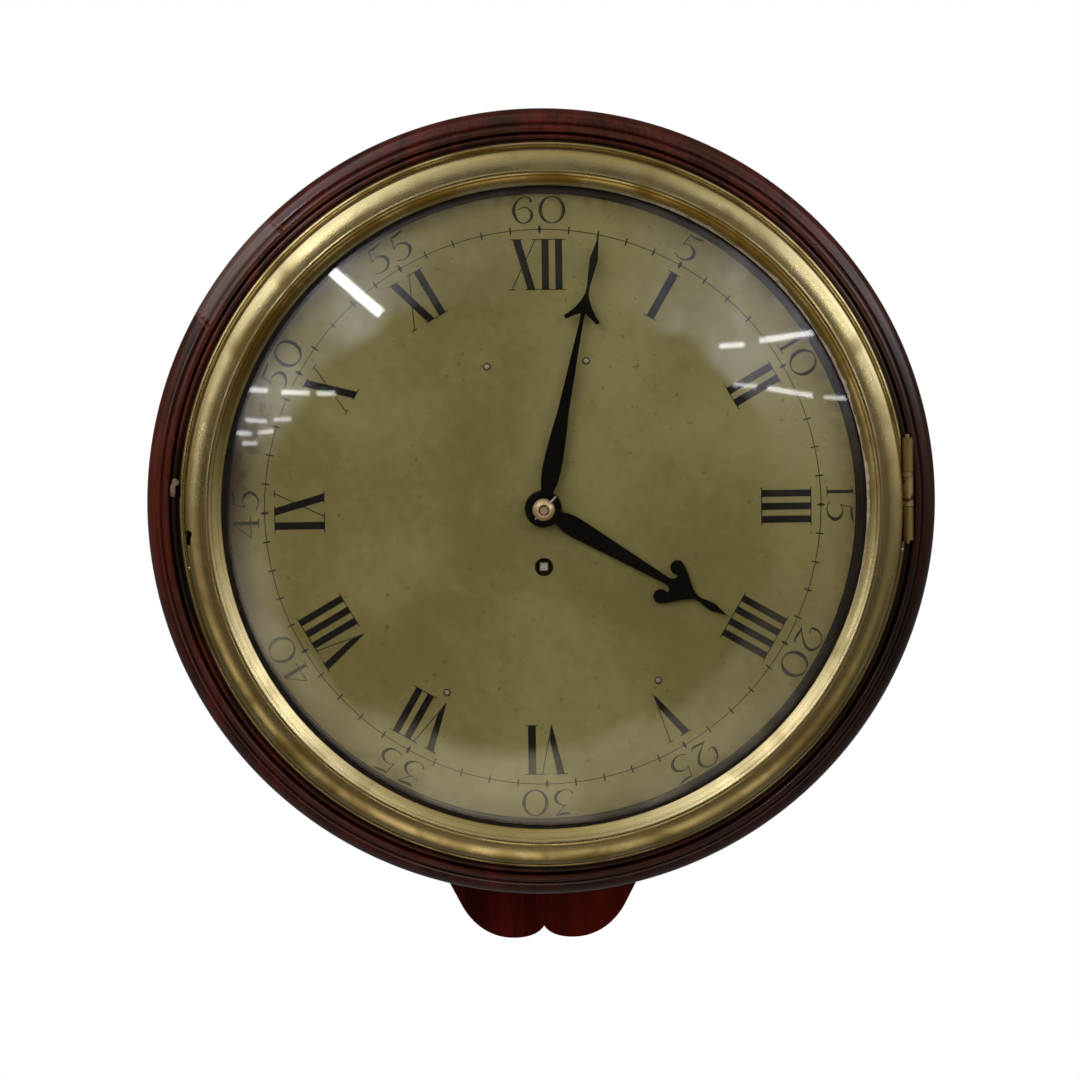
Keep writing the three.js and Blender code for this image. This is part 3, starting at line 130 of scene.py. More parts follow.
@dataclass(frozen=True)
class Clouds:
    """A cloudy pattern: its clouds to a metre, its finer layers and how far it is bent."""

    scale: float
    detail: float = 3.0
    swirl: float = 0.0


class Link:
    """The output of a shader node, for use in sums."""

    def __init__(self, nodes: "Nodes", socket: Any) -> None:
        """Keeps the socket and the tree that it is in."""
        self.nodes = nodes
        self.socket = socket

    def reckon(self, operation: str, first: "Feed", second: "Feed") -> "Link":
        """Adds the node of one sum.

        Args:
            operation: The name of the sum in Blender.
            first: The left side of the sum.
            second: The right side of the sum.

        Returns:
            The result of the sum.
        """
        if self.socket.type == "VECTOR":
            sides = [(side,) * 3 if isinstance(side, (int, float)) else side for side in (first, second)]
            return self.nodes.node("ShaderNodeVectorMath", {"operation": operation}, dict(enumerate(sides)))
        if self.socket.type == "RGBA":
            settings = {"data_type": "RGBA", "blend_type": operation}
            return self.nodes.node("ShaderNodeMix", settings, {0: 1.0, 6: first, 7: second}, 2)
        return self.nodes.reckon(operation, first, second)

    def other(self, name: str) -> "Link":
        """Gives another output of the same node."""
        return Link(self.nodes, self.socket.node.outputs[name])

    def __add__(self, side: "Feed") -> "Link":
        """Adds a value."""
        return self.reckon("ADD", self, side)

    def __radd__(self, side: "Feed") -> "Link":
        """Adds to a value."""
        return self.reckon("ADD", side, self)

    def __sub__(self, side: "Feed") -> "Link":
        """Takes a value away."""
        return self.reckon("SUBTRACT", self, side)

    def __mul__(self, side: "Feed") -> "Link":
        """Multiplies by a value."""
        return self.reckon("MULTIPLY", self, side)

    def __truediv__(self, side: "Feed") -> "Link":
        """Divides by a value."""
        return self.reckon("DIVIDE", self, side)

    def __pow__(self, side: "Feed") -> "Link":
        """Raises to a power."""
        return self.reckon("POWER", self, side)


Feed = Union[Link, float, tuple]


class Nodes:
    """A node tree that is filled from empty."""

    def __init__(self, tree: bpy.types.NodeTree) -> None:
        """Empties the tree."""
        self.tree = tree
        tree.nodes.clear()

    def node(self, kind: str, settings: dict[str, Any] | None = None,
             inputs: dict[str | int, Feed] | None = None, out: str | int = 0) -> Link:
        """Adds one node.

        Args:
            kind: The node's type.
            settings: Its properties, or the stops of a ramp, which are set first.
            inputs: The values or links of its sockets.
            out: The output to give back.

        Returns:
            The named output of the new node.
        """
        node = self.tree.nodes.new(kind)
        for name, value in (settings or {}).items():
            if name == "stops":
                elements = node.color_ramp.elements
                while len(elements) < len(value):
                    elements.new(0.5)
                for element, (position, colour) in zip(elements, value):
                    element.position = position
                    element.color = colour
            else:
                setattr(node, name, value)
        for name, feed in (inputs or {}).items():
            if isinstance(feed, Link):
                self.tree.links.new(feed.socket, node.inputs[name])
            else:
                node.inputs[name].default_value = feed
        return Link(self, node.outputs[out] if len(node.outputs) else None)

    def reckon(self, operation: str, *values: Feed) -> Link:
        """Adds the node of one sum of plain numbers."""
        return self.node("ShaderNodeMath", {"operation": operation}, dict(enumerate(values)))

    def part(self, place: Link, axis: str) -> Link:
        """Gives how far a place lies along one axis."""
        return self.node("ShaderNodeSeparateXYZ", {}, {0: place}, axis)

    def length(self, place: Link) -> Link:
        """Gives how far a place lies from the origin."""
        return self.node("ShaderNodeVectorMath", {"operation": "LENGTH"}, {0: place}, "Value")

    def place(self, middle: Point = (0.0, 0.0)) -> Link:
        """Gives the place on the object in metres, counted from a middle given in millimetres."""
        return self.node("ShaderNodeTexCoord", out="Object") - (middle[0] * MM, 0.0, middle[1] * MM)

    def noise(self, place: Link, clouds: Clouds) -> Link:
        """Gives a cloudy value from 0 to 1.

        Args:
            place: Where the value is read.
            clouds: The pattern of the clouds.

        Returns:
            The cloudy value.
        """
        sockets = {"Vector": place, "Scale": clouds.scale, "Detail": clouds.detail,
                   "Distortion": clouds.swirl}
        return self.node("ShaderNodeTexNoise", {}, sockets, "Fac")

    def rise(self, value: Feed, start: float, end: float, low: float = 0.0, high: float = 1.0) -> Link:
        """Gives a smooth step.

        Args:
            value: What the step follows.
            start: The value at which the step starts.
            end: The value at which it ends.
            low: The level before the step.
            high: The level after it.

        Returns:
            The level.
        """
        sockets = {"Value": value, "From Min": start, "From Max": end, "To Min": low, "To Max": high}
        return self.node("ShaderNodeMapRange", {"interpolation_type": "SMOOTHSTEP"}, sockets)

    def band(self, value: Link, middle: Feed, reach: float) -> Link:
        """Gives 1 in the middle of a band and 0 outside it.

        Args:
            value: What is measured across the band.
            middle: The middle of the band.
            reach: The half-width of the band.

        Returns:
            The share of the band.
        """
        return self.rise(self.reckon("ABSOLUTE", value - middle), reach, 0.0)

    def blend(self, first: Feed, second: Feed, share: Feed) -> Link:
        """Mixes two colours.

        Args:
            first: The colour at a share of 0.
            second: The colour at a share of 1.
            share: The share of the second colour.

        Returns:
            The mixed colour.
        """
        return self.node("ShaderNodeMix", {"data_type": "RGBA"}, {0: share, 6: first, 7: second}, 2)

    def bump(self, height: Link, depth: float, strength: float = 1.0) -> Link:
        """Gives a surface direction that follows a height.

        Args:
            height: The height, from 0 to 1.
            depth: The real height of the relief in millimetres.
            strength: How much of it shows.

        Returns:
            The direction, for a shader's Normal.
        """
        sockets = {"Strength": strength, "Distance": depth * MM, "Height": height}
        return self.node("ShaderNodeBump", {}, sockets)

    def radius(self, place: Link) -> Link:
        """Gives the distance from the dial's axis in millimetres."""
        return self.length(place * (1 / MM, 0.0, 1 / MM))

    def bearing(self, place: Link) -> Link:
        """Gives the angle about the dial's axis in degrees, clockwise from the top, from -180 to 180."""
        across = self.part(place, "X")
        return self.reckon("ARCTAN2", across, across.other("Z")) * math.degrees(1)

    def turning(self, place: Link, fine: float, drift: float) -> Link:
        """Gives the lines that a turning tool leaves.

        Args:
            place: Where the lines are read.
            fine: How many lines there are to a millimetre.
            drift: How much they change with each degree about the axis.

        Returns:
            The height of the lines, from 0 to 1.
        """
        around = {0: self.radius(place) * fine, 1: self.bearing(place) * drift}
        return self.noise(self.node("ShaderNodeCombineXYZ", {}, around), Clouds(1.0, 2))

    def surface(self, sockets: dict[str | int, Feed]) -> Link:
        """Adds the shader of a surface."""
        return self.node("ShaderNodeBsdfPrincipled", {}, sockets)


class Finish:
    """A finish that is laid on pieces."""

    name: str

    def paint(self, nodes: Nodes) -> Link:
        """Adds the nodes of the finish and gives its shader."""
        raise NotImplementedError

    @functools.cache
    def material(self) -> bpy.types.Material:
        """Makes the material of the finish once."""
        material = bpy.data.materials.new(self.name)
        material.use_nodes = True
        nodes = Nodes(material.node_tree)
        nodes.node("ShaderNodeOutputMaterial", {}, {"Surface": self.paint(nodes)})
        return material


@dataclass(frozen=True)
class Wood(Finish):
    """Old polished wood with fibres, pores and a worn polish, and, where asked, painted light that lightens
    its right side.

    A step is the two levels between which a pattern sets in. A relief is its height and how much shows.
    """

    name: str
    light: Colour
    deep: Colour
    grain: Grain
    roughness: float = 0.34
    coat: float = 0.3
    gloss: float = 0.2
    painted_light_right: float = 0.0
    figure: Clouds = Clouds(38, 4, 1.4)
    figure_step: Point = (0.3, 0.72)
    fibre: Clouds = Clouds(620)
    pores: Clouds = Clouds(1500, 1)
    pore_step: Point = (0.62, 0.74)
    pore_share: float = 0.55
    grime_and_shade: Clouds = Clouds(26, 5)
    grime_step: Point = (0.42, 0.68)
    grime_share: float = 0.4
    painted_light_right_step: Point = (-0.004, 0.016)
    coat_roughness: float = 0.12
    relief: Point = (0.05, 0.5)

    def grained(self, nodes: Nodes, place: Link) -> tuple[Link, Link, Link]:
        """Adds the grain.

        Args:
            nodes: The tree to fill.
            place: Where the grain is read.

        Returns:
            The colour, the roughness and the height of the grain.
        """
        run = place * self.grain.value
        figure = nodes.noise(run, self.figure)
        fibre = nodes.noise(run, self.fibre)
        pores = nodes.rise(nodes.noise(run, self.pores), *self.pore_step)
        streaks = nodes.rise(figure + (fibre - 0.5) * 0.5, *self.figure_step)
        colour = nodes.blend(self.deep, self.light, streaks)
        colour = nodes.blend(colour, darker(self.deep, 0.35), pores * self.pore_share)
        grime_and_shade = nodes.rise(nodes.noise(place, self.grime_and_shade), *self.grime_step)
        colour = nodes.blend(colour, darker(self.deep, 0.55), grime_and_shade * self.grime_share)
        # painted light: the wood is made lighter towards its right side
        if self.painted_light_right:
            right = nodes.part(place, "X") + (figure - 0.5) * 0.02
            colour = nodes.blend(colour, self.light, nodes.rise(right, *self.painted_light_right_step) * self.painted_light_right)
        roughness = self.roughness + grime_and_shade * 0.14 + fibre * 0.08 - 0.04
        return colour, roughness, fibre * 0.6 - pores

    def paint(self, nodes: Nodes) -> Link:
        """Adds the nodes of the finish and gives its shader."""
        colour, roughness, height = self.grained(nodes, nodes.place())
        return self.polished(nodes, colour, roughness, height)

    def polished(self, nodes: Nodes, colour: Link, roughness: Link, height: Link) -> Link:
        """Adds the shader of the polished wood.

        Args:
            nodes: The tree to fill.
            colour: The colour of the wood.
            roughness: Its roughness under the polish.
            height: The height of its grain.

        Returns:
            The shader.
        """
        return nodes.surface({"Base Color": colour, "Roughness": roughness, "Specular IOR Level": self.gloss,
                              "Coat Weight": self.coat, "Coat Roughness": self.coat_roughness,
                              "Normal": nodes.bump(height, *self.relief)})


@dataclass(frozen=True)
class TurnedWood(Wood):
    """Mahogany of the turned surround, worn on its crests with a painted sheen there, dirty in its quirks
    with painted shade there, a painted shadow inside the lip and painted shade on its right, darker in the
    quirk on its left, and mended on the left with a painted sheen on the mend.

    A stop of the worn or darker bands is a radius, a half-width and a share.
    A joint is a bearing, a slant and a share.
    """

    worn_and_sheen_bands: tuple[Stop, ...] = ((184.0, 1.2, 0.55), (191.5, 2.2, 0.22))
    # the band at 153.5 is a painted shadow on the platform inside the bezel's lip; the others are dirt with
    # painted shade in the quirks
    dirt_and_shade_bands: tuple[Stop, ...] = ((182.0, 0.9, 0.9), (178.9, 1.0, 0.8), (186.5, 0.8, 0.6), (153.5, 6.0, 0.97))
    joints: tuple[Stop, ...] = ((-60.5, 0.10, 1.0), (-42.4, -0.08, 0.8))
    seam_half: float = 0.32
    seam_radius: float = 190.0
    seam_stray: float = 0.9
    seam_from: Point = (183.0, 185.0)
    mend_and_sheen_from: Point = (183.5, 186.5)
    mend_and_sheen_share: float = 0.5
    shade_side: Point = (120.0, 85.0)
    shade_share: float = 0.75
    quirk_dark_side: Point = (-93.0, 22.0)
    quirk_dark_within: Point = (182.8, 181.8)
    quirk_dark_share: float = 0.9
    wander: Clouds = Clouds(70)
    worn_and_sheen_step: Point = (0.25, 0.6)
    filler: Colour = tint(118, 58, 36)
    mend_and_sheen: Colour = tint(132, 106, 98)
    worn_and_sheen: Colour = tint(104, 60, 46)
    dirt_and_shade: Colour = tint(14, 5, 4)
    shade: Colour = tint(12, 4, 3)
    quirk_dark: Colour = tint(8, 4, 4)

    def paint(self, nodes: Nodes) -> Link:
        """Adds the nodes of the finish and gives its shader."""
        place = nodes.place()
        colour, roughness, height = self.grained(nodes, place)
        radius = nodes.radius(place)
        bearing = nodes.bearing(place)
        wander = nodes.noise(place, self.wander)
        # worn crests with a painted sheen: the astragal's crest and the outer torus are made lighter where
        # they would catch the light
        for middle, reach, share in self.worn_and_sheen_bands:
            worn = nodes.band(radius, middle, reach) * nodes.rise(wander, *self.worn_and_sheen_step)
            colour = nodes.blend(colour, self.worn_and_sheen, worn * share)
        # dirt and painted shade: the quirks and the gap by the bezel are darkened where shade falls, and the
        # platform inside the lip gets a painted shadow
        for middle, reach, share in self.dirt_and_shade_bands:
            colour = nodes.blend(colour, self.dirt_and_shade, nodes.band(radius, middle, reach) * share)
        # the let-in mend on the left is paler, and its pale colour also carries a painted sheen on the outer
        # torus
        middle = (self.joints[0][0] + self.joints[1][0]) / 2
        reach = (self.joints[1][0] - self.joints[0][0]) / 2
        let_in_and_sheen = nodes.rise(nodes.band(bearing, middle, reach * 1.02), 0.0, 0.04)
        let_in_and_sheen = let_in_and_sheen * nodes.rise(radius, *self.mend_and_sheen_from) * self.mend_and_sheen_share
        colour = nodes.blend(colour, self.mend_and_sheen, let_in_and_sheen)
        colour = nodes.blend(colour, self.shade, nodes.band(bearing, *self.shade_side) * self.shade_share)
        # the quirk by the bezel is made darker on the left side
        quirk_darkening = nodes.rise(nodes.band(bearing, *self.quirk_dark_side), 0.0, 0.5)
        quirk_darkening = quirk_darkening * nodes.rise(radius, *self.quirk_dark_within) * self.quirk_dark_share
        colour = nodes.blend(colour, self.quirk_dark, quirk_darkening)
        for angle, slant, share in self.joints:
            line = (radius - self.seam_radius) * slant + wander * self.seam_stray
            line = line + (angle - self.seam_stray / 2)
            seam = nodes.band(bearing, line, self.seam_half) * nodes.rise(radius, *self.seam_from)
            colour = nodes.blend(colour, self.filler, seam * share)
            height = height - seam * 2
        return self.polished(nodes, colour, roughness, height)


@dataclass(frozen=True)
class Brass(Finish):
    """Old brass with a dull skin in patches, fine specks and turning lines.

    A stop of the darker bands is a radius, a half-width and a share; one of painted side shade has a bearing
    before them.
    Lines are how many there are to a millimetre and how much they change with each degree.
    """

    name: str
    bright: Colour
    dull: Colour
    roughness: float = 0.26
    turned: bool = False
    middle: Point = (0.0, 0.0)
    dirt_and_shade_bands: tuple[Stop, ...] = ()
    patchy: float = 0.55
    scale: float = 34.0
    core: float = 0.0
    # a near-black core is painted shade, as inside the deep winding hole; the centre arbor's tip gets its
    # pale steel
    core_steel_and_shade: Colour = tint(12, 11, 10)
    # each a bearing, a radius, a half-width and a share of painted shade on one side of the ring
    grime_and_shade: tuple[tuple[float, float, float, float], ...] = ()
    metallic: float = 1.0
    pitted: float = 0.5
    skin_step: Point = (0.38, 0.68)
    specks: Clouds = Clouds(900, 2)
    speck_step: Point = (0.6, 0.75)
    side_step: Point = (-0.2, 0.6)
    lines: Point = (2.2, 0.02)
    drawn: Clouds = Clouds(1400, 2)
    drawn_run: Spot = (1.0, 1.0, 0.12)
    core_edge: float = 0.3
    relief: Point = (0.015, 0.2)

    def dirtied_and_shaded(self, nodes: Nodes, place: Link, dirt_and_shade: Link) -> Link:
        """Adds the dirt in the quirks, and painted shade on some sides, of a turned ring.

        Args:
            nodes: The tree to fill.
            place: Where the dirt is read.
            dirt_and_shade: The dirt that is there already.

        Returns:
            All the dirt, with the painted shade on the sides.
        """
        radius, turn = nodes.radius(place), nodes.bearing(place)
        for middle, reach, share in self.dirt_and_shade_bands:
            dirt_and_shade = dirt_and_shade + nodes.band(radius, middle, reach) * share
        # painted shade: the ring is dulled on the side about each bearing
        for bearing, middle, reach, share in self.grime_and_shade:
            side = nodes.rise(nodes.reckon("COSINE", (turn - bearing) * math.radians(1)), *self.side_step)
            dirt_and_shade = dirt_and_shade + side * nodes.band(radius, middle, reach) * share
        return dirt_and_shade

    def paint(self, nodes: Nodes) -> Link:
        """Adds the nodes of the finish and gives its shader."""
        place = nodes.place(self.middle)
        patches = nodes.rise(nodes.noise(place, Clouds(self.scale, 6, 0.6)), *self.skin_step)
        specks = nodes.rise(nodes.noise(place, self.specks), *self.speck_step)
        dirt_and_shade = patches * self.patchy + specks * (0.5 * self.pitted)
        if self.turned:
            lines = nodes.turning(place, *self.lines)
            dirt_and_shade = self.dirtied_and_shaded(nodes, place, dirt_and_shade)
        else:
            lines = nodes.noise(place * self.drawn_run, self.drawn)
        colour = nodes.blend(self.bright, self.dull, nodes.rise(dirt_and_shade, 0.0, 1.0))
        # the core round the axis takes its own colour: pale steel on the centre arbor, painted shade inside
        # the winding hole
        if self.core:
            core_share = nodes.rise(nodes.radius(place), self.core + self.core_edge, self.core)
            colour = nodes.blend(colour, self.core_steel_and_shade, core_share)
        roughness = self.roughness + patches * 0.12 + lines * 0.1
        height = lines * 0.6 - specks * self.pitted
        return nodes.surface({"Base Color": colour, "Roughness": roughness, "Metallic": self.metallic,
                              "Normal": nodes.bump(height, *self.relief)})


@dataclass(frozen=True)
class Silvering(Finish):
    """A silvered dial that has gone olive, with cloudy tarnish, a stained edge and a painted shadow of the
    bezel on its left rim.

    A stop of blots is a place on the dial and a reach. A side is a bearing and a half-width.
    """

    name: str
    pale: Colour
    olive: Colour
    stain: Colour
    bezel_shadow_side: Point = (-93.0, 32.0)
    damp_side: Point = (-80.0, 20.0)
    blots: tuple[Stop, ...] = ((89.5, 117.5, 7.0), (118.5, -82.0, 3.0), (121.5, -85.5, 2.6))
    # the colour of the painted shadow of the bezel
    dim: Colour = tint(66, 54, 28)
    damp: Colour = tint(84, 58, 32)
    blot: Colour = tint(120, 92, 58)
    clouds: Clouds = Clouds(11, 6, 0.5)
    pale_step: Point = (0.32, 0.7)
    fine: Clouds = Clouds(170, 4)
    edge_from: Point = (148.0, 162.0)
    edge_stray: float = 14.0
    stain_step: Point = (0.2, 0.7)
    spots: Clouds = Clouds(330)
    spot_step: Point = (0.66, 0.74)
    bezel_shadow_from: Point = (134.0, 153.0)
    damp_from: Point = (137.0, 145.0)
    ragged: Clouds = Clouds(120, 4)
    ragged_step: Point = (0.42, 0.56)
    lines: Point = (3.0, 0.03)
    relief: Point = (0.02, 0.3)

    def paint(self, nodes: Nodes) -> Link:
        """Adds the nodes of the finish and gives its shader."""
        place = nodes.place()
        radius = nodes.radius(place)
        bearing = nodes.bearing(place)
        clouds = nodes.noise(place, self.clouds)
        fine = nodes.noise(place, self.fine)
        lines = nodes.turning(place, *self.lines)
        bare = nodes.rise(clouds + (fine - 0.5) * 0.25, *self.pale_step)
        colour = nodes.blend(self.olive, self.pale, bare)
        edge = nodes.rise(radius + clouds * self.edge_stray, *self.edge_from)
        colour = nodes.blend(colour, self.stain, edge * nodes.rise(fine, *self.stain_step) * 0.7)
        spots = nodes.rise(nodes.noise(place, self.spots), *self.spot_step)
        colour = nodes.blend(colour, self.stain, spots * 0.5)
        # painted shadow: the bezel's shadow darkens the left rim of the dial
        bezel_shadowed = nodes.rise(nodes.band(bearing, *self.bezel_shadow_side), 0.0, 0.7)
        bezel_shadowed = bezel_shadowed * nodes.rise(radius, *self.bezel_shadow_from)
        colour = nodes.blend(colour, self.dim, bezel_shadowed * 0.75)
        wet = nodes.rise(nodes.band(bearing, *self.damp_side), 0.0, 0.6) * nodes.rise(radius, *self.damp_from)
        ragged = nodes.rise(nodes.noise(place, self.ragged), *self.ragged_step)
        colour = nodes.blend(colour, self.damp, wet * ragged * 0.8)
        for x, y, reach in self.blots:
            off = nodes.radius(nodes.place((x, y))) + (fine - 0.5) * reach * 2.4
            colour = nodes.blend(colour, self.blot, nodes.rise(off, reach, reach * 0.3) * 0.5)
        return nodes.surface({"Base Color": colour, "Roughness": 0.46 + fine * 0.16 + lines * 0.06,
                              "Metallic": 0.12, "Specular IOR Level": 0.2,
                              "Normal": nodes.bump(lines * 0.5 + fine - spots * 0.6, *self.relief)})


@dataclass(frozen=True)
class Steel(Finish):
    """Steel with a coloured or bright skin and fine draw lines."""

    name: str
    skin: Colour
    rust: Colour
    roughness: float = 0.3
    metallic: float = 1.0
    gloss: float = 0.5
    clouds: Clouds = Clouds(120, 5)
    cloud_step: Point = (0.5, 0.75)
    drawn: Clouds = Clouds(1800, 2)
    drawn_run: Spot = (1.0, 1.0, 0.2)
    relief: Point = (0.02, 0.3)

    def paint(self, nodes: Nodes) -> Link:
        """Adds the nodes of the finish and gives its shader."""
        place = nodes.place()
        clouds = nodes.rise(nodes.noise(place, self.clouds), *self.cloud_step)
        lines = nodes.noise(place * self.drawn_run, self.drawn)
        colour = nodes.blend(self.skin, self.rust, clouds * 0.5)
        return nodes.surface({"Base Color": colour, "Metallic": self.metallic,
                              "Specular IOR Level": self.gloss,
                              "Roughness": self.roughness + clouds * 0.2 + lines * 0.08,
                              "Normal": nodes.bump(lines, *self.relief)})


@dataclass(frozen=True)
class Fill(Finish):
    """A matt filling, such as wax in an engraving or old putty, that has worn thin in places."""

    name: str
    full: Colour
    thin: Colour
    wear: float = 0.3
    scale: float = 240.0
    roughness: float = 0.55
    wear_step: Point = (0.4, 0.75)
    crumbs: Clouds = Clouds(2600, 2)
    relief: Point = (0.03, 0.4)

    def paint(self, nodes: Nodes) -> Link:
        """Adds the nodes of the finish and gives its shader."""
        place = nodes.place()
        worn = nodes.rise(nodes.noise(place, Clouds(self.scale, 5)), *self.wear_step)
        crumbs = nodes.noise(place, self.crumbs)
        colour = nodes.blend(self.full, self.thin, worn * self.wear)
        return nodes.surface({"Base Color": colour, "Roughness": self.roughness + worn * 0.15,
                              "Specular IOR Level": 0.2, "Normal": nodes.bump(crumbs, *self.relief)})


@dataclass(frozen=True)
class ClearGlass(Finish):
    """Old blown glass, clear for light and faintly dusty near its rim.

    The film is the share of dust that the rim has beyond the middle, and the share of the middle.
    """

    name: str
    dust: Colour
    roughness: float = 0.03
    bending: float = 1.45
    waves: Clouds = Clouds(7, 1)
    relief: Point = (0.3, 0.15)
    smears: Clouds = Clouds(60, 5)
    smear_run: Spot = (1.0, 1.0, 0.4)
    smear_step: Point = (0.35, 0.75)
    rim_from: Point = (120.0, 160.0)
    film: Point = (0.014, 0.002)

    def paint(self, nodes: Nodes) -> Link:
        """Adds the nodes of the finish and gives its shader."""
        place = nodes.place()
        waves = nodes.noise(place, self.waves)
        clear = nodes.surface({"Base Color": WHITE, "Roughness": self.roughness, "IOR": self.bending,
                               "Transmission Weight": 1.0, "Normal": nodes.bump(waves, *self.relief)})
        film = nodes.node("ShaderNodeBsdfDiffuse", {}, {"Color": self.dust})
        smears = nodes.noise(place * self.smear_run, self.smears)
        rim = nodes.rise(nodes.radius(place), *self.rim_from)
        share = nodes.rise(smears, *self.smear_step) * (rim * self.film[0] + self.film[1])
        dusty = nodes.node("ShaderNodeMixShader", {}, {0: share, 1: clear, 2: film})
        ray = nodes.node("ShaderNodeLightPath", out="Is Shadow Ray")
        open_way = nodes.node("ShaderNodeBsdfTransparent")
        passing = nodes.reckon("MAXIMUM", ray, ray.other("Is Diffuse Ray"))
        return nodes.node("ShaderNodeMixShader", {}, {0: passing, 1: dusty, 2: open_way})


BEZEL_SHIFT: Point = (0.6, -0.2)
WINDING: Point = (0.0, -28.6)
CASE_WOOD = (tint(112, 54, 32), tint(60, 24, 14))
CLOCK_BRASS = (tint(222, 184, 104), tint(150, 112, 52))
BEZEL_DIRT = ((175.0, 0.8, 0.9), (158.6, 0.25, 0.35), (161.5, 0.3, 0.45), (164.3, 0.3, 0.45),
              (167.0, 0.2, 0.2), (177.0, 1.6, 0.35))
# painted shade on the top, the bottom and both sides of the bezel: a bearing, a radius, a half-width and a
# share
BEZEL_SIDE_SHADE = ((180.0, 171.8, 3.2, 0.4), (0.0, 160.6, 4.2, 0.7), (90.0, 167.0, 5.5, 0.35),
               (-90.0, 167.0, 5.5, 0.4))
# the mahogany boards get painted light that makes their right side lighter
MAHOGANY = Wood("mahogany_boards", tint(116, 24, 9), tint(62, 8, 3), Grain.UPRIGHT, 0.42, 0.05, 0.1, 0.35)
TURNED_MAHOGANY = TurnedWood("mahogany_surround", tint(98, 26, 17), tint(46, 10, 7), Grain.UPRIGHT,
                             0.36, 0.9, 0.15)
CASE_UPRIGHT = Wood("case_wood_upright", *CASE_WOOD, Grain.UPRIGHT, 0.42, 0.15)
CASE_ACROSS = Wood("case_wood_across", *CASE_WOOD, Grain.ACROSS, 0.42, 0.15)
PEG_WOOD = Wood("peg_wood", tint(138, 92, 58), tint(84, 46, 26), Grain.ACROSS, 0.5, 0.1)
BEZEL_BRASS = Brass("cast_brass_bezel", tint(228, 210, 156), tint(132, 104, 44), 0.2, True, BEZEL_SHIFT,
                    BEZEL_DIRT, 0.4, grime_and_shade=BEZEL_SIDE_SHADE, pitted=0.08)
FITTING_BRASS = Brass("cast_brass_fittings", tint(168, 144, 92), tint(88, 66, 34), 0.4)
LOCK_BRASS = Brass("lock_brass", tint(46, 35, 20), tint(18, 13, 8), 0.5)
TAB_METAL = Brass("worn_tab_metal", tint(190, 168, 148), tint(104, 82, 66), 0.5, patchy=0.8, scale=200.0)
HINGE_BRASS = Brass("pitted_hinge_brass", tint(196, 170, 124), tint(84, 64, 40), 0.42,
                    patchy=0.9, scale=210.0)
RIVET_METAL = Brass("rivet_metal", tint(206, 186, 164), tint(140, 116, 92), 0.45)
COLLET_BRASS = Brass("collet_brass", tint(246, 220, 172), tint(186, 146, 98), 0.3, scale=260.0, metallic=0.6)
MOVEMENT_BRASS = Brass("movement_brass", *CLOCK_BRASS, 0.28)
# the fusee's core, seen through the winding hole, is painted near-black as the shade inside the hole
FUSEE_BRASS = Brass("fusee_brass", *CLOCK_BRASS, 0.28, middle=WINDING, core=4.4)
ARBOR_BRASS = Brass("arbor_brass", *CLOCK_BRASS, 0.28, core=2.6, core_steel_and_shade=tint(188, 160, 142), metallic=0.35)
DIAL_SILVER = Silvering("silvered_dial", tint(163, 153, 101), tint(133, 122, 71), tint(98, 76, 40))
BLUED_STEEL = Steel("blued_steel", tint(5, 5, 5), tint(12, 10, 8), 0.42, 0.0, 0.04)
BRIGHT_STEEL = Steel("bright_steel", tint(200, 198, 194), tint(130, 112, 96), 0.28)
SQUARE_STEEL = Steel("square_steel", tint(222, 212, 200), tint(164, 142, 120), 0.3, 0.35)
BLACK_WAX = Fill("black_wax", tint(13, 12, 10), tint(44, 39, 28), 0.35)
THIN_WAX = Fill("thin_wax", tint(28, 25, 19), tint(80, 71, 46), 0.55)
OLD_PUTTY = Fill("old_putty", tint(20, 15, 11), tint(52, 40, 29), 0.6, 150.0, 0.7)
PALE_PUTTY_AND_HIGHLIGHT = Fill("pale_putty_and_highlight", tint(196, 178, 160), tint(128, 106, 86), 0.8, 260.0, 0.7)
GUT_LINE = Fill("gut_line", tint(186, 150, 92), tint(120, 88, 48), 0.6, 600.0, 0.45)
CLOCK_GLASS = ClearGlass("clock_glass", tint(200, 196, 186))
SLOT_FINISHES = {
    Slot.MAHOGANY: MAHOGANY, Slot.DARK_WOOD: CASE_UPRIGHT, Slot.CAST_BRASS: FITTING_BRASS,
    Slot.MOVEMENT_BRASS: MOVEMENT_BRASS, Slot.SILVERED: DIAL_SILVER, Slot.BLUED: BLUED_STEEL,
    Slot.STEEL: BRIGHT_STEEL, Slot.GLASS: CLOCK_GLASS, Slot.PUTTY: OLD_PUTTY, Slot.GUT: GUT_LINE,
}
OWN_FINISHES = {
    "peg_": PEG_WOOD, "dial_foot_": RIVET_METAL, "bezel_hinge_": HINGE_BRASS, "bezel_lock": LOCK_BRASS,
    "fusee": FUSEE_BRASS, "centre_wheel": ARBOR_BRASS, "box_top": CASE_ACROSS, "box_bottom": CASE_ACROSS,
    "bottom_door": CASE_ACROSS,
}


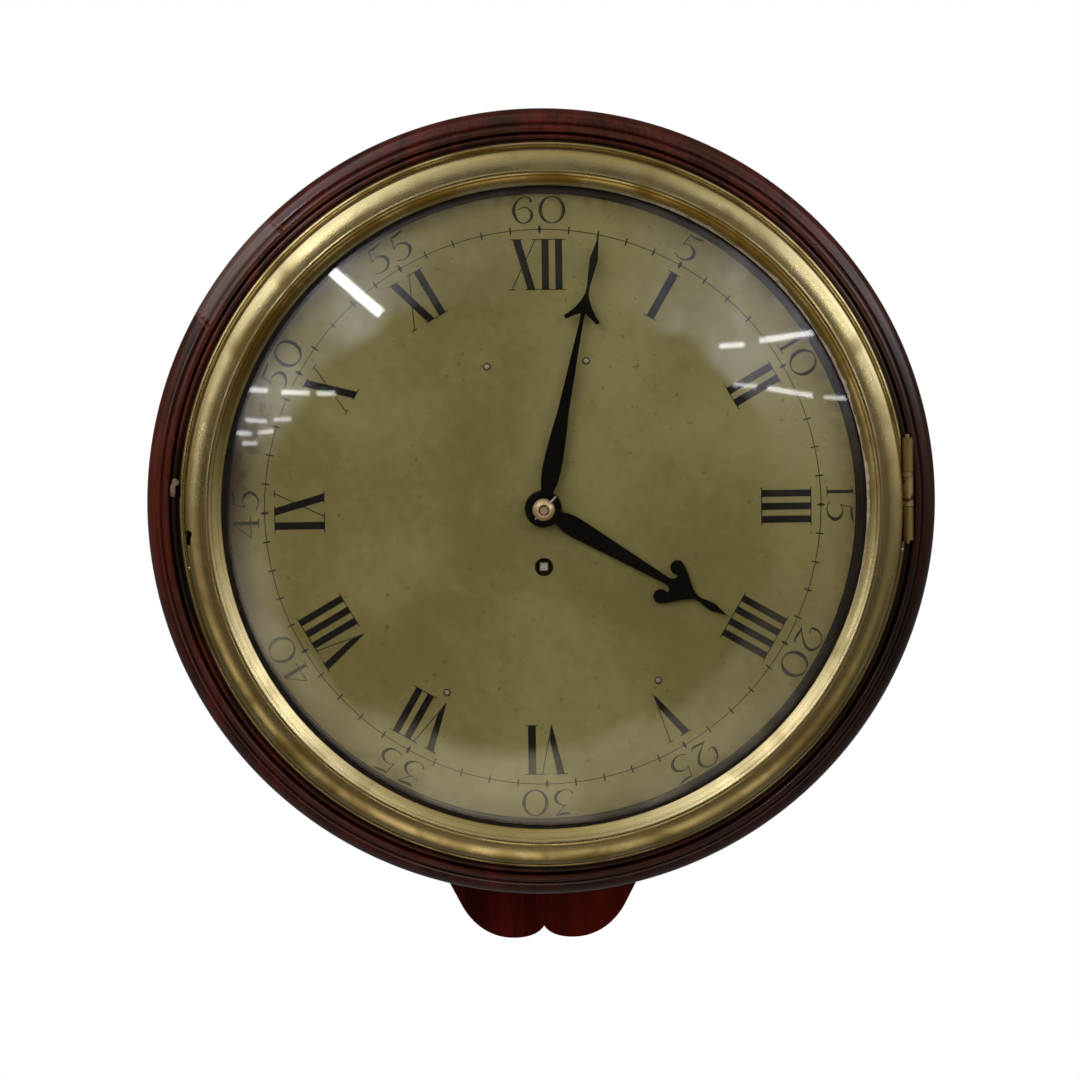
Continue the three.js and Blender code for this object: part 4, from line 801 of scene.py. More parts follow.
class Outline:
    """A line of flat points that is drawn with straight, bent and round runs."""

    def __init__(self, x: float, y: float) -> None:
        """Starts the line at a point."""
        self.points: list[Point] = [(x, y)]

    def line(self, x: float, y: float) -> "Outline":
        """Goes straight to a point."""
        self.points.append((x, y))
        return self

    def quad(self, bend: Point, end: Point, steps: int = 10) -> "Outline":
        """Goes to a point on a bend with one handle.

        Args:
            bend: The handle.
            end: The point that the bend ends at.
            steps: How many straight runs the bend gets.

        Returns:
            The outline itself.
        """
        start = self.points[-1]
        first = tuple(a + (b - a) * 2 / 3 for a, b in zip(start, bend))
        second = tuple(a + (b - a) * 2 / 3 for a, b in zip(end, bend))
        return self.curve(first, second, end, steps)

    def curve(self, first: Point, second: Point, end: Point, steps: int = 14) -> "Outline":
        """Goes to a point on a bend with two handles.

        Args:
            first: The handle of the start.
            second: The handle of the end.
            end: The point that the bend ends at.
            steps: How many straight runs the bend gets.

        Returns:
            The outline itself.
        """
        start = self.points[-1]
        for step in range(1, steps + 1):
            t = step / steps
            weights = ((1 - t) ** 3, 3 * t * (1 - t) ** 2, 3 * t * t * (1 - t), t ** 3)
            corners = (start, first, second, end)
            self.points.append(tuple(sum(w * corner[axis] for w, corner in zip(weights, corners))
                                     for axis in (0, 1)))
        return self

    def arc(self, middle: Point, radius: float, start: float, sweep: float, steps: int = 16) -> "Outline":
        """Goes round a middle.

        Args:
            middle: The middle of the arc.
            radius: Its radius.
            start: The angle that it starts at, in degrees.
            sweep: How far it goes round, in degrees, clockwise if below 0.
            steps: How many straight runs it gets.

        Returns:
            The outline itself.
        """
        for step in range(steps + 1):
            angle = math.radians(start + sweep * step / steps)
            self.points.append((middle[0] + radius * math.cos(angle), middle[1] + radius * math.sin(angle)))
        return self

    def mirrored(self) -> list[Point]:
        """Gives the whole outline of a half that starts and ends on the middle line."""
        return self.points + [(-x, y) for x, y in reversed(self.points[1:-1])]


def ring_of(radius: float, middle: Point = (0.0, 0.0), steps: int = 48) -> list[Point]:
    """Gives the points of a circle.

    Args:
        radius: The circle's radius.
        middle: Its middle.
        steps: How many points it gets.

    Returns:
        The points in order.
    """
    return [(middle[0] + radius * math.cos(math.tau * step / steps),
             middle[1] + radius * math.sin(math.tau * step / steps)) for step in range(steps)]


def tidy_mesh(mesh: bpy.types.Mesh, sharp: float) -> None:
    """Merges doubled points, turns faces outwards and shades the mesh smooth up to an angle in degrees."""
    work = bmesh.new()
    work.from_mesh(mesh)
    bmesh.ops.remove_doubles(work, verts=work.verts, dist=MERGE)
    bmesh.ops.recalc_face_normals(work, faces=work.faces)
    work.to_mesh(mesh)
    work.free()
    mesh.shade_smooth()
    mesh.set_sharp_from_angle(angle=math.radians(sharp))


def put(name: str, mesh: bpy.types.Mesh, sharp: float) -> Piece:
    """Sets a mesh in the scene as a piece.

    Args:
        name: The piece's name.
        mesh: Its mesh, in metres.
        sharp: The angle in degrees from which an edge stays sharp.

    Returns:
        The piece.
    """
    tidy_mesh(mesh, sharp)
    piece = bpy.data.objects.new(name, mesh)
    bpy.context.scene.collection.objects.link(piece)
    return piece


def shaped(name: str, points: Sequence[Sequence[float]], faces: Sequence[Sequence[int]],
           where: Matrix = DIAL_FRAME, sharp: float = SHARP) -> Piece:
    """Makes a piece from points and faces.

    Args:
        name: The piece's name.
        points: The points in millimetres.
        faces: The corners of each face.
        where: The frame that the points are in.
        sharp: The angle in degrees from which an edge stays sharp.

    Returns:
        The piece.
    """
    mesh = bpy.data.meshes.new(name)
    mesh.from_pydata([where @ Vector(point) for point in points], [], faces)
    return put(name, mesh, sharp)


def at(x: float, y: float, depth: float = 0.0) -> Matrix:
    """Gives the dial's frame, moved to a place on the dial."""
    return DIAL_FRAME @ Matrix.Translation((x, y, depth))


def on_ring(angle: float, profile: Sequence[Point]) -> list[Spot]:
    """Stands a profile, whose points are each a radius and a depth, at an angle about the axis."""
    return [(radius * math.cos(angle), radius * math.sin(angle), depth) for radius, depth in profile]


def lofted(name: str, sections: Sequence[Sequence[Spot]], closed: bool = True, where: Matrix = DIAL_FRAME,
           sharp: float = SHARP) -> Piece:
    """Makes a piece whose skin runs over sections that have equally many points.

    Args:
        name: The piece's name.
        sections: The points of each section in millimetres.
        closed: Whether the skin runs back to the first section, or else ends in flat faces.
        where: The frame that the points are in.
        sharp: The angle in degrees from which an edge stays sharp.

    Returns:
        The piece.
    """
    count, total = len(sections[0]), len(sections)
    faces = []
    for step in range(total if closed else total - 1):
        here, there = step * count, (step + 1) % total * count
        for corner in range(count):
            after = (corner + 1) % count
            faces.append((here + corner, here + after, there + after, there + corner))
    if not closed:
        faces += [tuple(reversed(range(count))), tuple(range((total - 1) * count, total * count))]
    return shaped(name, [point for section in sections for point in section], faces, where, sharp)


def turned(name: str, profile: Sequence[Point], where: Matrix = DIAL_FRAME,
           segments: int = SEGMENTS) -> Piece:
    """Turns a closed profile about an axis.

    Args:
        name: The piece's name.
        profile: The points of the profile, each a radius and a depth.
        where: The frame whose third axis is the axis.
        segments: How many steps the turn has.

    Returns:
        The piece.
    """
    sections = [on_ring(math.tau * step / segments, profile) for step in range(segments)]
    return lofted(name, sections, where=where)


def plate(name: str, outlines: Sequence[Sequence[Point]], back: float, front: float, bevel: float = 0.2,
          where: Matrix = DIAL_FRAME) -> Piece:
    """Makes a flat piece with eased edges.

    Args:
        name: The piece's name.
        outlines: The outer outline and any holes.
        back: The depth of its back.
        front: The depth of its front.
        bevel: How far its edges are eased.
        where: The frame that it lies in.

    Returns:
        The piece.
    """
    curve = bpy.data.curves.new(name, "CURVE")
    curve.dimensions = "2D"
    curve.fill_mode = "BOTH"
    curve.extrude = (front - back) / 2 - bevel
    curve.bevel_depth = bevel
    curve.bevel_resolution = 2
    curve.offset = -bevel
    for outline in outlines:
        spline = curve.splines.new("POLY")
        spline.points.add(len(outline) - 1)
        for point, (x, y) in zip(spline.points, outline):
            point.co = (x, y, 0.0, 1.0)
        spline.use_cyclic_u = True
    drawn = bpy.data.objects.new(name, curve)
    bpy.context.scene.collection.objects.link(drawn)
    mesh = bpy.data.meshes.new_from_object(drawn.evaluated_get(bpy.context.evaluated_depsgraph_get()))
    bpy.data.objects.remove(drawn)
    bpy.data.curves.remove(curve)
    mesh.transform(where @ Matrix.Translation((0, 0, (back + front) / 2)))
    return put(name, mesh, FLAT_SHARP)


def inlay(name: str, shapes: Sequence[Sequence[Point]], back: float, front: float) -> Piece:
    """Makes one flat figure from shapes that may overlap.

    Args:
        name: The piece's name.
        shapes: The outlines of the shapes.
        back: The depth of its back.
        front: The depth of its front.

    Returns:
        The piece.
    """
    spots: list[Vector] = []
    loops: list[list[int]] = []
    for shape in shapes:
        area = sum(a[0] * b[1] - b[0] * a[1] for a, b in zip(shape, [*shape[1:], shape[0]]))
        loops.append(list(range(len(spots), len(spots) + len(shape))))
        spots += [Vector(point) for point in (shape if area > 0 else list(reversed(shape)))]
    found, _, cells, _, _, owners = delaunay_2d_cdt(spots, [], loops, 0, CLOSE)
    cells = [list(cell) for cell, owner in zip(cells, owners) if owner]
    sides = {(a, b) for cell in cells for a, b in zip(cell, cell[1:] + cell[:1])}
    walls = [(a, b) for a, b in sides if (b, a) not in sides]
    count = len(found)
    points = [(x, y, back) for x, y in found] + [(x, y, front) for x, y in found]
    faces = [tuple(index + count for index in cell) for cell in cells]
    faces += [tuple(reversed(cell)) for cell in cells]
    faces += [(a, b, b + count, a + count) for a, b in sorted(walls)]
    piece = shaped(name, points, faces, sharp=FINE_SHARP)
    loose = bmesh.new()
    loose.from_mesh(piece.data)
    bmesh.ops.delete(loose, geom=[v for v in loose.verts if not v.link_faces], context="VERTS")
    loose.to_mesh(piece.data)
    loose.free()
    return piece


def stroke(path: Sequence[Stop], closed: bool = False, steps: int = 6) -> list[list[Point]]:
    """Draws a pen line whose width changes along it.

    Args:
        path: The points of the line, each with the pen's width there.
        closed: Whether the line goes back to its start.
        steps: How many runs there are between two points.

    Returns:
        The line as short four-sided shapes.
    """
    count = len(path)
    spans = count if closed else count - 1
    samples: list[Stop] = []
    for span in range(spans):
        picks = [span - 1, span, span + 1, span + 2]
        corners = [path[p % count] if closed else path[min(max(p, 0), count - 1)] for p in picks]
        for step in range(steps):
            t = step / steps
            weights = (-t / 2 + t * t - t ** 3 / 2, 1 - 2.5 * t * t + 1.5 * t ** 3,
                       t / 2 + 2 * t * t - 1.5 * t ** 3, -t * t / 2 + t ** 3 / 2)
            samples.append(tuple(sum(w * corner[axis] for w, corner in zip(weights, corners))
                                 for axis in range(3)))
    if not closed:
        samples.append(tuple(path[-1]))
    edges: list[tuple[Point, Point]] = []
    total = len(samples)
    for index, (x, y, width) in enumerate(samples):
        before = samples[index - 1] if closed or index else samples[0]
        after = samples[(index + 1) % total] if closed or index < total - 1 else samples[-1]
        dx, dy = after[0] - before[0], after[1] - before[1]
        length = math.hypot(dx, dy) or 1.0
        nx, ny = -dy / length * width / 2, dx / length * width / 2
        edges.append(((x + nx, y + ny), (x - nx, y - ny)))
    pairs = list(zip(edges, edges[1:] + edges[:1])) if closed else list(zip(edges, edges[1:]))
    return [[a[0], a[1], b[1], b[0]] for a, b in pairs]


def carve(piece: Piece, cutters: Sequence[Piece]) -> Piece:
    """Cuts pieces out of a piece and removes them.

    Args:
        piece: The piece that is cut.
        cutters: What is cut out of it.

    Returns:
        The cut piece.
    """
    for cutter in cutters:
        cut = piece.modifiers.new("cut", "BOOLEAN")
        cut.operation = "DIFFERENCE"
        cut.solver = "EXACT"
        cut.object = cutter
    mesh = bpy.data.meshes.new_from_object(piece.evaluated_get(bpy.context.evaluated_depsgraph_get()))
    piece.modifiers.clear()
    piece.data = mesh
    tidy_mesh(mesh, SHARP)
    for cutter in cutters:
        bpy.data.objects.remove(cutter)
    return piece


def block(low: Sequence[float], high: Sequence[float]) -> Piece:
    """Makes a cutter with square corners from its lowest and highest corner."""
    points = [(x, y, z) for x in (low[0], high[0]) for y in (low[1], high[1]) for z in (low[2], high[2])]
    faces = ((0, 1, 3, 2), (4, 6, 7, 5), (0, 4, 5, 1), (2, 3, 7, 6), (0, 2, 6, 4), (1, 5, 7, 3))
    return shaped("cutter", points, faces)


def centred(middle: float, half: float) -> Point:
    """Gives the two ends of a span from its middle and half its length."""
    return middle - half, middle + half


class Assembly:
    """A group of pieces that are made and finished together."""

    def add(self, piece: Piece, finish: Finish, body: Body, slot: Slot, *stands_for: str) -> None:
        """Finishes a piece and ties it to the body that it moves with.

        Args:
            piece: The piece.
            finish: What it is finished with.
            body: The body that it rides on.
            slot: The record's slot of its finish; it is not used.
            stands_for: The solids that it takes the place of.
        """
        piece.data.materials.clear()
        piece.data.materials.append(finish.material())
        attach(piece, body.value)
        if stands_for:
            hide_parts(*stands_for)
        LOG.info("%s rides on %s", piece.name, body.value)


@dataclass(frozen=True)
class Hinge:
    """Where the bezel's hinge is, for the recess and the notch that it sits in."""

    x: float = 178.75
    height: float = 6.5
    half: float = 25.6
    pin_half: float = 27.1

    def cutter(self, reach: Point, depths: Point, half: float) -> Piece:
        """Makes a cutter about the hinge.

        Args:
            reach: Where it starts and ends across the pin's axis, inwards below 0.
            depths: The depth of its back and of its front.
            half: Half its height.

        Returns:
            The cutter.
        """
        low, high = centred(self.height, half)
        return block((self.x + reach[0], low, depths[0]), (self.x + reach[1], high, depths[1]))


@dataclass
class Surround(Assembly):
    """The turned wooden ring that carries the dial and the bezel.

    A nick is a bearing, a radius, a depth and a size.
    """

    rear: float = 86.7
    seat: float = 104.0
    platform: float = 170.6
    platform_front: float = 113.5
    rebate: float = 152.9
    dial_seat: float = 110.7
    bore: float = 40.0
    movement_space: tuple[Spot, Spot] = ((-71.0, -100.0, 80.0), (71.0, 90.0, 120.0))
    lock_mortise: tuple[Spot, Spot] = ((-172.65, -15.5, 103.4), (-166.35, -6.6, 106.6))
    knuckle_recess: tuple[Point, Point] = ((-3.55, 3.3), (103.4, 120.0))
    leaf_slot: tuple[Point, Point] = ((-1.0, 1.0), (95.1, 110.0))
    pin_groove: tuple[Point, Point] = ((-1.3, 1.3), (106.2, 110.0))
    hinge: Hinge = Hinge()
    nicks: tuple[tuple[float, float, float, float], ...] = (
        (46.9, 184.2, 106.9, 1.1), (326.5, 184.4, 106.9, 1.0), (299.4, 185.0, 106.7, 1.2),
        (317.5, 185.2, 106.6, 1.3), (299.9, 189.8, 101.9, 1.3), (317.2, 190.6, 101.4, 1.2),
        (317.9, 193.2, 98.8, 1.3), (299.0, 193.4, 98.4, 1.0))

    def nick(self, bearing: float, radius: float, depth: float, size: float) -> Piece:
        """Makes the cutter of a small dent.

        Args:
            bearing: The angle of the dent, clockwise from the top.
            radius: Its distance from the axis.
            depth: The depth of the cutter's middle.
            size: The cutter's radius.

        Returns:
            The cutter.
        """
        angle = math.radians(bearing)
        ball = Outline(0.0, depth - size).arc((0.0, depth), size, -90.0, 180.0, 10)
        return turned("cutter", ball.points, at(radius * math.sin(angle), radius * math.cos(angle)), 16)

    def profile(self) -> list[Point]:
        """Gives the profile that the ring is turned to."""
        path = Outline(self.bore, self.rear).line(188.4, self.rear)
        path.curve((192.4, 86.7), (194.4, 88.5), (194.4, 92.0))
        path.curve((194.4, 97.4), (190.6, 101.6), (187.0, 101.6), 18).line(186.4, 101.5)
        path.curve((186.4, 104.8), (185.6, 106.3), (184.2, 106.3))
        path.curve((182.8, 106.3), (182.2, 105.3), (182.0, 103.4))
        path.curve((181.8, 105.6), (179.1, 106.2), (178.9, self.seat))
        path.line(self.platform, self.seat).line(self.platform, self.platform_front - 0.4)
        path.line(self.platform - 0.4, self.platform_front).line(self.rebate + 0.3, self.platform_front)
        path.line(self.rebate, self.platform_front - 0.3).line(self.rebate, self.dial_seat)
        return path.line(self.bore, self.dial_seat).points

    def build(self) -> None:
        """Makes the ring."""
        ring = turned("surround_ring", self.profile())
        cutters = [
            block(*self.movement_space),
            self.hinge.cutter(*self.knuckle_recess, self.hinge.half),
            self.hinge.cutter(*self.leaf_slot, self.hinge.half),
            self.hinge.cutter(*self.pin_groove, self.hinge.pin_half),
            block(*self.lock_mortise),
        ]
        cutters += [self.nick(*spot) for spot in self.nicks]
        self.add(carve(ring, cutters), TURNED_MAHOGANY, Body.CASE, Slot.MAHOGANY, "surround")


@dataclass
class Bezel(Assembly):
    """The hinged brass ring with its keyhole, its thumb tab and two pins."""

    rear: float = 104.3
    radius: float = 178.4
    crest: float = 121.7
    lip: float = 156.7
    roll: float = 174.6
    lock: Point = (-172.3, -9.2)
    key_radius: float = 1.9
    key_slot: Point = (1.1, 5.3)
    cut_depths: Point = (100.0, 130.0)
    knuckle_notch: Point = (-3.25, 6.0)
    leaf_seat: tuple[Point, Point, float] = ((-5.5, 0.0), (100.0, 106.0), 8.75)
    tab_notch: tuple[Spot, Spot] = ((-178.6, 8.2, 100.0), (-176.4, 13.2, 112.0))
    tab_depths: Point = (106.2, 108.9)
    tab_easing: float = 0.45
    tab: tuple[Point, ...] = ((-181.2, 8.4), (-179.6, 8.2), (-178.9, 9.6), (-178.8, 13.4), (-177.2, 14.2),
                              (-177.0, 15.8), (-178.9, 17.3), (-180.3, 16.7), (-181.3, 13.8), (-181.6, 10.4))
    pins: tuple[tuple[str, Point, float], ...] = (("lock_plate_pin", (-172.9, -26.9), 107.4),
                                                  ("hinge_leaf_pin", (175.8, -23.3), 107.4))
    hinge: Hinge = Hinge()

    def profile(self) -> list[Point]:
        """Gives the profile of the cast ring, with shallow reeds inside its crest."""
        path = Outline(176.3, self.rear).line(178.0, self.rear).line(self.radius, self.rear + 0.6)
        path.quad((self.radius, 108.3), (176.7, 108.3)).quad((175.6, 108.3), (175.4, 107.5))
        path.line(self.roll, 107.6).line(self.roll, self.crest - 5.4)
        path.curve((self.roll, 118.4), (173.6, 119.6), (171.9, 120.15))
        path.curve((169.6, 120.9), (167.0, 121.35), (164.3, 121.5))
        path.quad((163.2, 121.95), (161.5, 121.0), 12).quad((160.1, 120.6), (158.6, 119.75), 8)
        path.quad((157.6, 119.3), (self.lip, 118.4), 8).line(self.lip, 118.15).line(160.6, 117.2)
        path.line(160.6, 113.8).line(171.2, 113.8).line(171.2, 111.9)
        return path.line(172.7, 108.2).line(173.9, 106.6).line(176.3, 106.2).points

    def build(self) -> None:
        """Makes the ring, its tab and the small pieces on it."""
        ring = turned("bezel_ring", self.profile(), at(*BEZEL_SHIFT))
        x, y = self.lock
        half, drop = self.key_slot
        low, high = self.cut_depths
        round_hole = [(0.0, low), (self.key_radius, low), (self.key_radius, high), (0.0, high)]
        cutters = [
            self.hinge.cutter(self.knuckle_notch, self.cut_depths, self.hinge.half),
            self.hinge.cutter(*self.leaf_seat),
            block((x - half, y - drop, low), (x + half, y, high)),
            block(*self.tab_notch),
            turned("cutter", round_hole, at(x, y), 32),
        ]
        self.add(carve(ring, cutters), BEZEL_BRASS, Body.BEZEL, Slot.CAST_BRASS, "bezel")
        tab = plate("bezel_thumb_tab", [self.tab], *self.tab_depths, self.tab_easing)
        self.add(tab, TAB_METAL, Body.BEZEL, Slot.CAST_BRASS)
        for name, spot, floor in self.pins:
            head = Outline(0.0, floor - 1.5).line(0.9, floor - 1.5).line(0.9, floor + 0.5)
            head.quad((0.85, floor + 1.1), (0.0, floor + 1.15), 5)
            self.add(turned(name, head.points, at(*spot), 24), BRIGHT_STEEL, Body.BEZEL, Slot.STEEL)


@dataclass
class Glazing(Assembly):
    """The domed glass and the putty at its edge.

    The fillet is its middle radius and how far it strays from it; its width on the left is painted shade.
    The pale crust, also a painted highlight on the lip's edge, runs between two bearings.
    """

    radius: float = 160.0
    rear: float = 114.9
    thickness: float = 2.0
    rise: float = 22.0
    rings: int = 48
    fillet: Point = (155.2, 0.95)
    fillet_turn: float = 20.0
    fillet_bed: float = 157.1
    lip_corner: tuple[Point, Point] = ((156.65, 118.65), (156.68, 118.5))
    lip_slope: tuple[Point, ...] = ((156.7, 118.4), (157.62, 119.19), (158.6, 119.75), (160.08, 120.49))
    crust_reach: Point = (14.0, 108.0)
    crust_edge: float = 156.85
    crust_steps: int = 240
    crust_taper: int = 30

    def dome(self, radius: float, rim: float) -> float:
        """Gives the depth of a dome at a radius.

        Args:
            radius: The distance from the axis.
            rim: The depth of the dome at its rim.

        Returns:
            The depth of its face there.
        """
        ball = (self.radius ** 2 + self.rise ** 2) / (2 * self.rise)
        return rim + self.rise - ball + math.sqrt(ball ** 2 - radius ** 2)

    def build(self) -> None:
        """Makes the glass and the putty along the bezel's lip."""
        radii = [self.radius * step / self.rings for step in range(self.rings + 1)]
        front = self.rear + self.thickness
        profile = [(radius, self.dome(radius, self.rear)) for radius in radii]
        profile += [(radius, self.dome(radius, front)) for radius in reversed(radii)]
        where = at(*BEZEL_SHIFT)
        self.add(turned("dial_glass", profile, where), CLOCK_GLASS, Body.BEZEL, Slot.GLASS, "glass")
        # dark putty, whose extra width on the left is painted shade inside the lip
        self.add(self.filling(where, front), OLD_PUTTY, Body.BEZEL, Slot.PUTTY)
        # pale putty that is also a painted highlight on the lip's edge
        self.add(self.pale_crust_and_highlight(where), PALE_PUTTY_AND_HIGHLIGHT, Body.BEZEL, Slot.PUTTY)

    def filling(self, where: Matrix, front: float) -> Piece:
        """Makes the dark putty that fills the corner of the lip, wide on the left as painted shade and thin
        on the right.

        Args:
            where: The frame of the bezel.
            front: The depth of the glass's rim.

        Returns:
            The putty.
        """
        middle, stray = self.fillet
        sections = []
        for step in range(SEGMENTS):
            angle = math.tau * step / SEGMENTS
            inner = middle + stray * math.cos(angle - math.radians(self.fillet_turn))
            waist = (inner + self.lip_corner[0][0]) / 2
            rests = ((self.fillet_bed, self.fillet_bed, 0.02), (inner, inner, 0.02),
                     (inner + 0.1, inner, 0.08), (waist, waist, 0.2))
            profile = [(radius, self.dome(under, front) + above) for radius, under, above in rests]
            sections.append(on_ring(angle, [*profile, *self.lip_corner]))
        return lofted("lip_putty", sections, where=where)

    def lip(self, radius: float) -> float:
        """Gives the depth of the bezel's lip at a radius.

        Args:
            radius: The distance from the axis.

        Returns:
            The depth of the lip's face there.
        """
        for (near, low), (far, high) in zip(self.lip_slope, self.lip_slope[1:]):
            if radius <= far:
                return low + (high - low) * (radius - near) / (far - near)
        return self.lip_slope[-1][1]

    def pale_crust_and_highlight(self, where: Matrix) -> Piece:
        """Makes the crust of pale putty that was smeared on the right of the lip, wide and narrow by turns;
        it also stands as a painted highlight along the lip's edge.

        Args:
            where: The frame of the bezel.

        Returns:
            The crust.
        """
        start, end = self.crust_reach
        count = self.crust_steps
        sections = []
        for step in range(count + 1):
            bearing = start + (end - start) * step / count
            ragged = math.sin(0.31 * bearing) + 0.7 * math.sin(0.83 * bearing + 1.0)
            ragged += 0.5 * math.sin(2.9 * bearing)
            taper = min(1.0, step / self.crust_taper, (count - step) / self.crust_taper)
            inner = self.crust_edge + 0.05 * math.sin(1.7 * bearing)
            outer = inner + 0.3 + taper * max(0.0, 0.75 + 0.42 * ragged)
            rests = ((inner, -0.08), (outer, -0.08), (outer - 0.1, 0.12), (inner + 0.08, 0.2))
            profile = [(radius, self.lip(radius) + above) for radius, above in rests]
            sections.append(on_ring(math.radians(90 - bearing), profile))
        return lofted("lip_putty_crust_and_highlight", sections, False, where)


@dataclass
class Dial(Assembly):
    """The silvered plate with its engraved and waxed figures."""

    back: float = 111.0
    face: float = 113.0
    radius: float = 152.4
    wax: float = 0.1
    roman_foot: float = 106.2
    roman_head: float = 130.7
    track: float = 135.4
    arabic_foot: float = 138.2
    hairline: float = 0.42
    serif_reach: float = 1.5
    digit_gap: float = 2.4
    centre_hole: float = 9.0
    winding_hole: float = 4.5
    easing: float = 0.15
    sunk: float = 0.05
    track_width: float = 0.36
    tick: tuple[Point, ...] = ((-0.34, -1.9), (0.34, -1.9), (0.34, 1.9), (-0.34, 1.9))
    diamond: tuple[Point, ...] = ((0.0, -2.3), (0.95, 0.0), (0.0, 2.3), (-0.95, 0.0))
    rivets: tuple[Point, ...] = ((-26.4, 69.4), (21.7, 71.6), (-48.4, -89.3), (55.1, -85.1))

    def to_face(self, hour: float, points: Sequence[Point]) -> list[Point]:
        """Sets points of an upright figure at its hour.

        Args:
            hour: The hour that the figure stands at.
            points: Its points, across it and out from the middle of the dial.

        Returns:
            The points on the dial.
        """
        angle = math.radians(30 * hour)
        return [(u * math.cos(angle) + v * math.sin(angle), v * math.cos(angle) - u * math.sin(angle))
                for u, v in points]

    def stem(self, middle: float, width: float) -> list[list[Point]]:
        """Draws the stroke of a one with its fine feet.

        Args:
            middle: The place of its middle across the figure.
            width: Its width.

        Returns:
            Its shapes.
        """
        low, high = self.roman_foot, self.roman_head
        left, right = centred(middle, width / 2)
        half = width / 2 + self.serif_reach
        return [[(left, low), (right, low), (right, high), (left, high)],
                self.serif(middle, half, low), self.serif(middle, half, high - self.hairline)]

    def slope(self, head: float, foot: float, head_width: float, foot_width: float) -> list[Point]:
        """Draws a leaning stroke between the foot and the head of a figure.

        Args:
            head: The middle of its head across the figure.
            foot: The middle of its foot.
            head_width: Its width at the head.
            foot_width: Its width at the foot.

        Returns:
            Its shape.
        """
        low, high = self.roman_foot, self.roman_head
        return [(foot - foot_width / 2, low), (foot + foot_width / 2, low),
                (head + head_width / 2, high), (head - head_width / 2, high)]

    def serif(self, middle: float, half: float, level: float) -> list[Point]:
        """Draws a fine level line across a stroke's end."""
        return [(middle - half, level), (middle + half, level), (middle + half, level + self.hairline),
                (middle - half, level + self.hairline)]

    def five(self, left: float) -> list[list[Point]]:
        """Draws a Roman five from the left edge of its head."""
        low, high = self.roman_foot, self.roman_head
        top = high - self.hairline
        thick = [(left, high), (left + 3.7, high), (left + 7.2, low + 7.4), (left + 6.1, low)]
        return [thick, self.slope(left + 11.0, left + 6.2, self.hairline, self.hairline),
                self.serif(left + 1.85, 3.2, top), self.serif(left + 11.0, 1.6, top)]

    def ten(self, left: float) -> list[list[Point]]:
        """Draws a Roman ten from the left edge of its thick stroke's head."""
        low, high = self.roman_foot, self.roman_head
        top = high - self.hairline
        return [self.slope(left + 1.85, left + 8.9, 3.7, 3.7),
                self.slope(left + 11.0, left - 0.7, 0.45, 0.45),
                self.serif(left + 1.85, 3.0, top), self.serif(left + 11.0, 1.6, top),
                self.serif(left + 8.9, 3.0, low), self.serif(left - 0.5, 1.6, low)]

    def roman(self, hour: int) -> list[list[Point]]:
        """Draws the Roman figure of an hour.

        Args:
            hour: The hour, from 1 to 12.

        Returns:
            The shapes of the upright figure.
        """
        ones = {1: ((-0.25, 3.9),), 2: ((-3.05, 3.7), (3.6, 3.7)),
                3: ((-5.8, 3.4), (0.55, 3.4), (6.9, 3.4)),
                4: ((-9.2, 3.4), (-2.95, 3.4), (3.65, 3.4), (9.9, 3.4)),
                6: ((7.1, 3.8),), 7: ((3.4, 3.4), (9.75, 3.4)),
                8: ((0.0, 3.4), (6.35, 3.4), (12.75, 3.4)),
                9: ((-6.4, 3.6),), 11: ((6.55, 3.5),), 12: ((2.55, 3.4), (9.05, 3.4))}
        fives = {5: -5.8, 6: -8.8, 7: -11.3, 8: -13.9}
        tens = {9: -1.4, 10: -4.8, 11: -8.55, 12: -13.1}
        shapes = [shape for middle, width in ones.get(hour, ()) for shape in self.stem(middle, width)]
        if hour in fives:
            shapes += self.five(fives[hour])
        if hour in tens:
            shapes += self.ten(tens[hour])
        return shapes

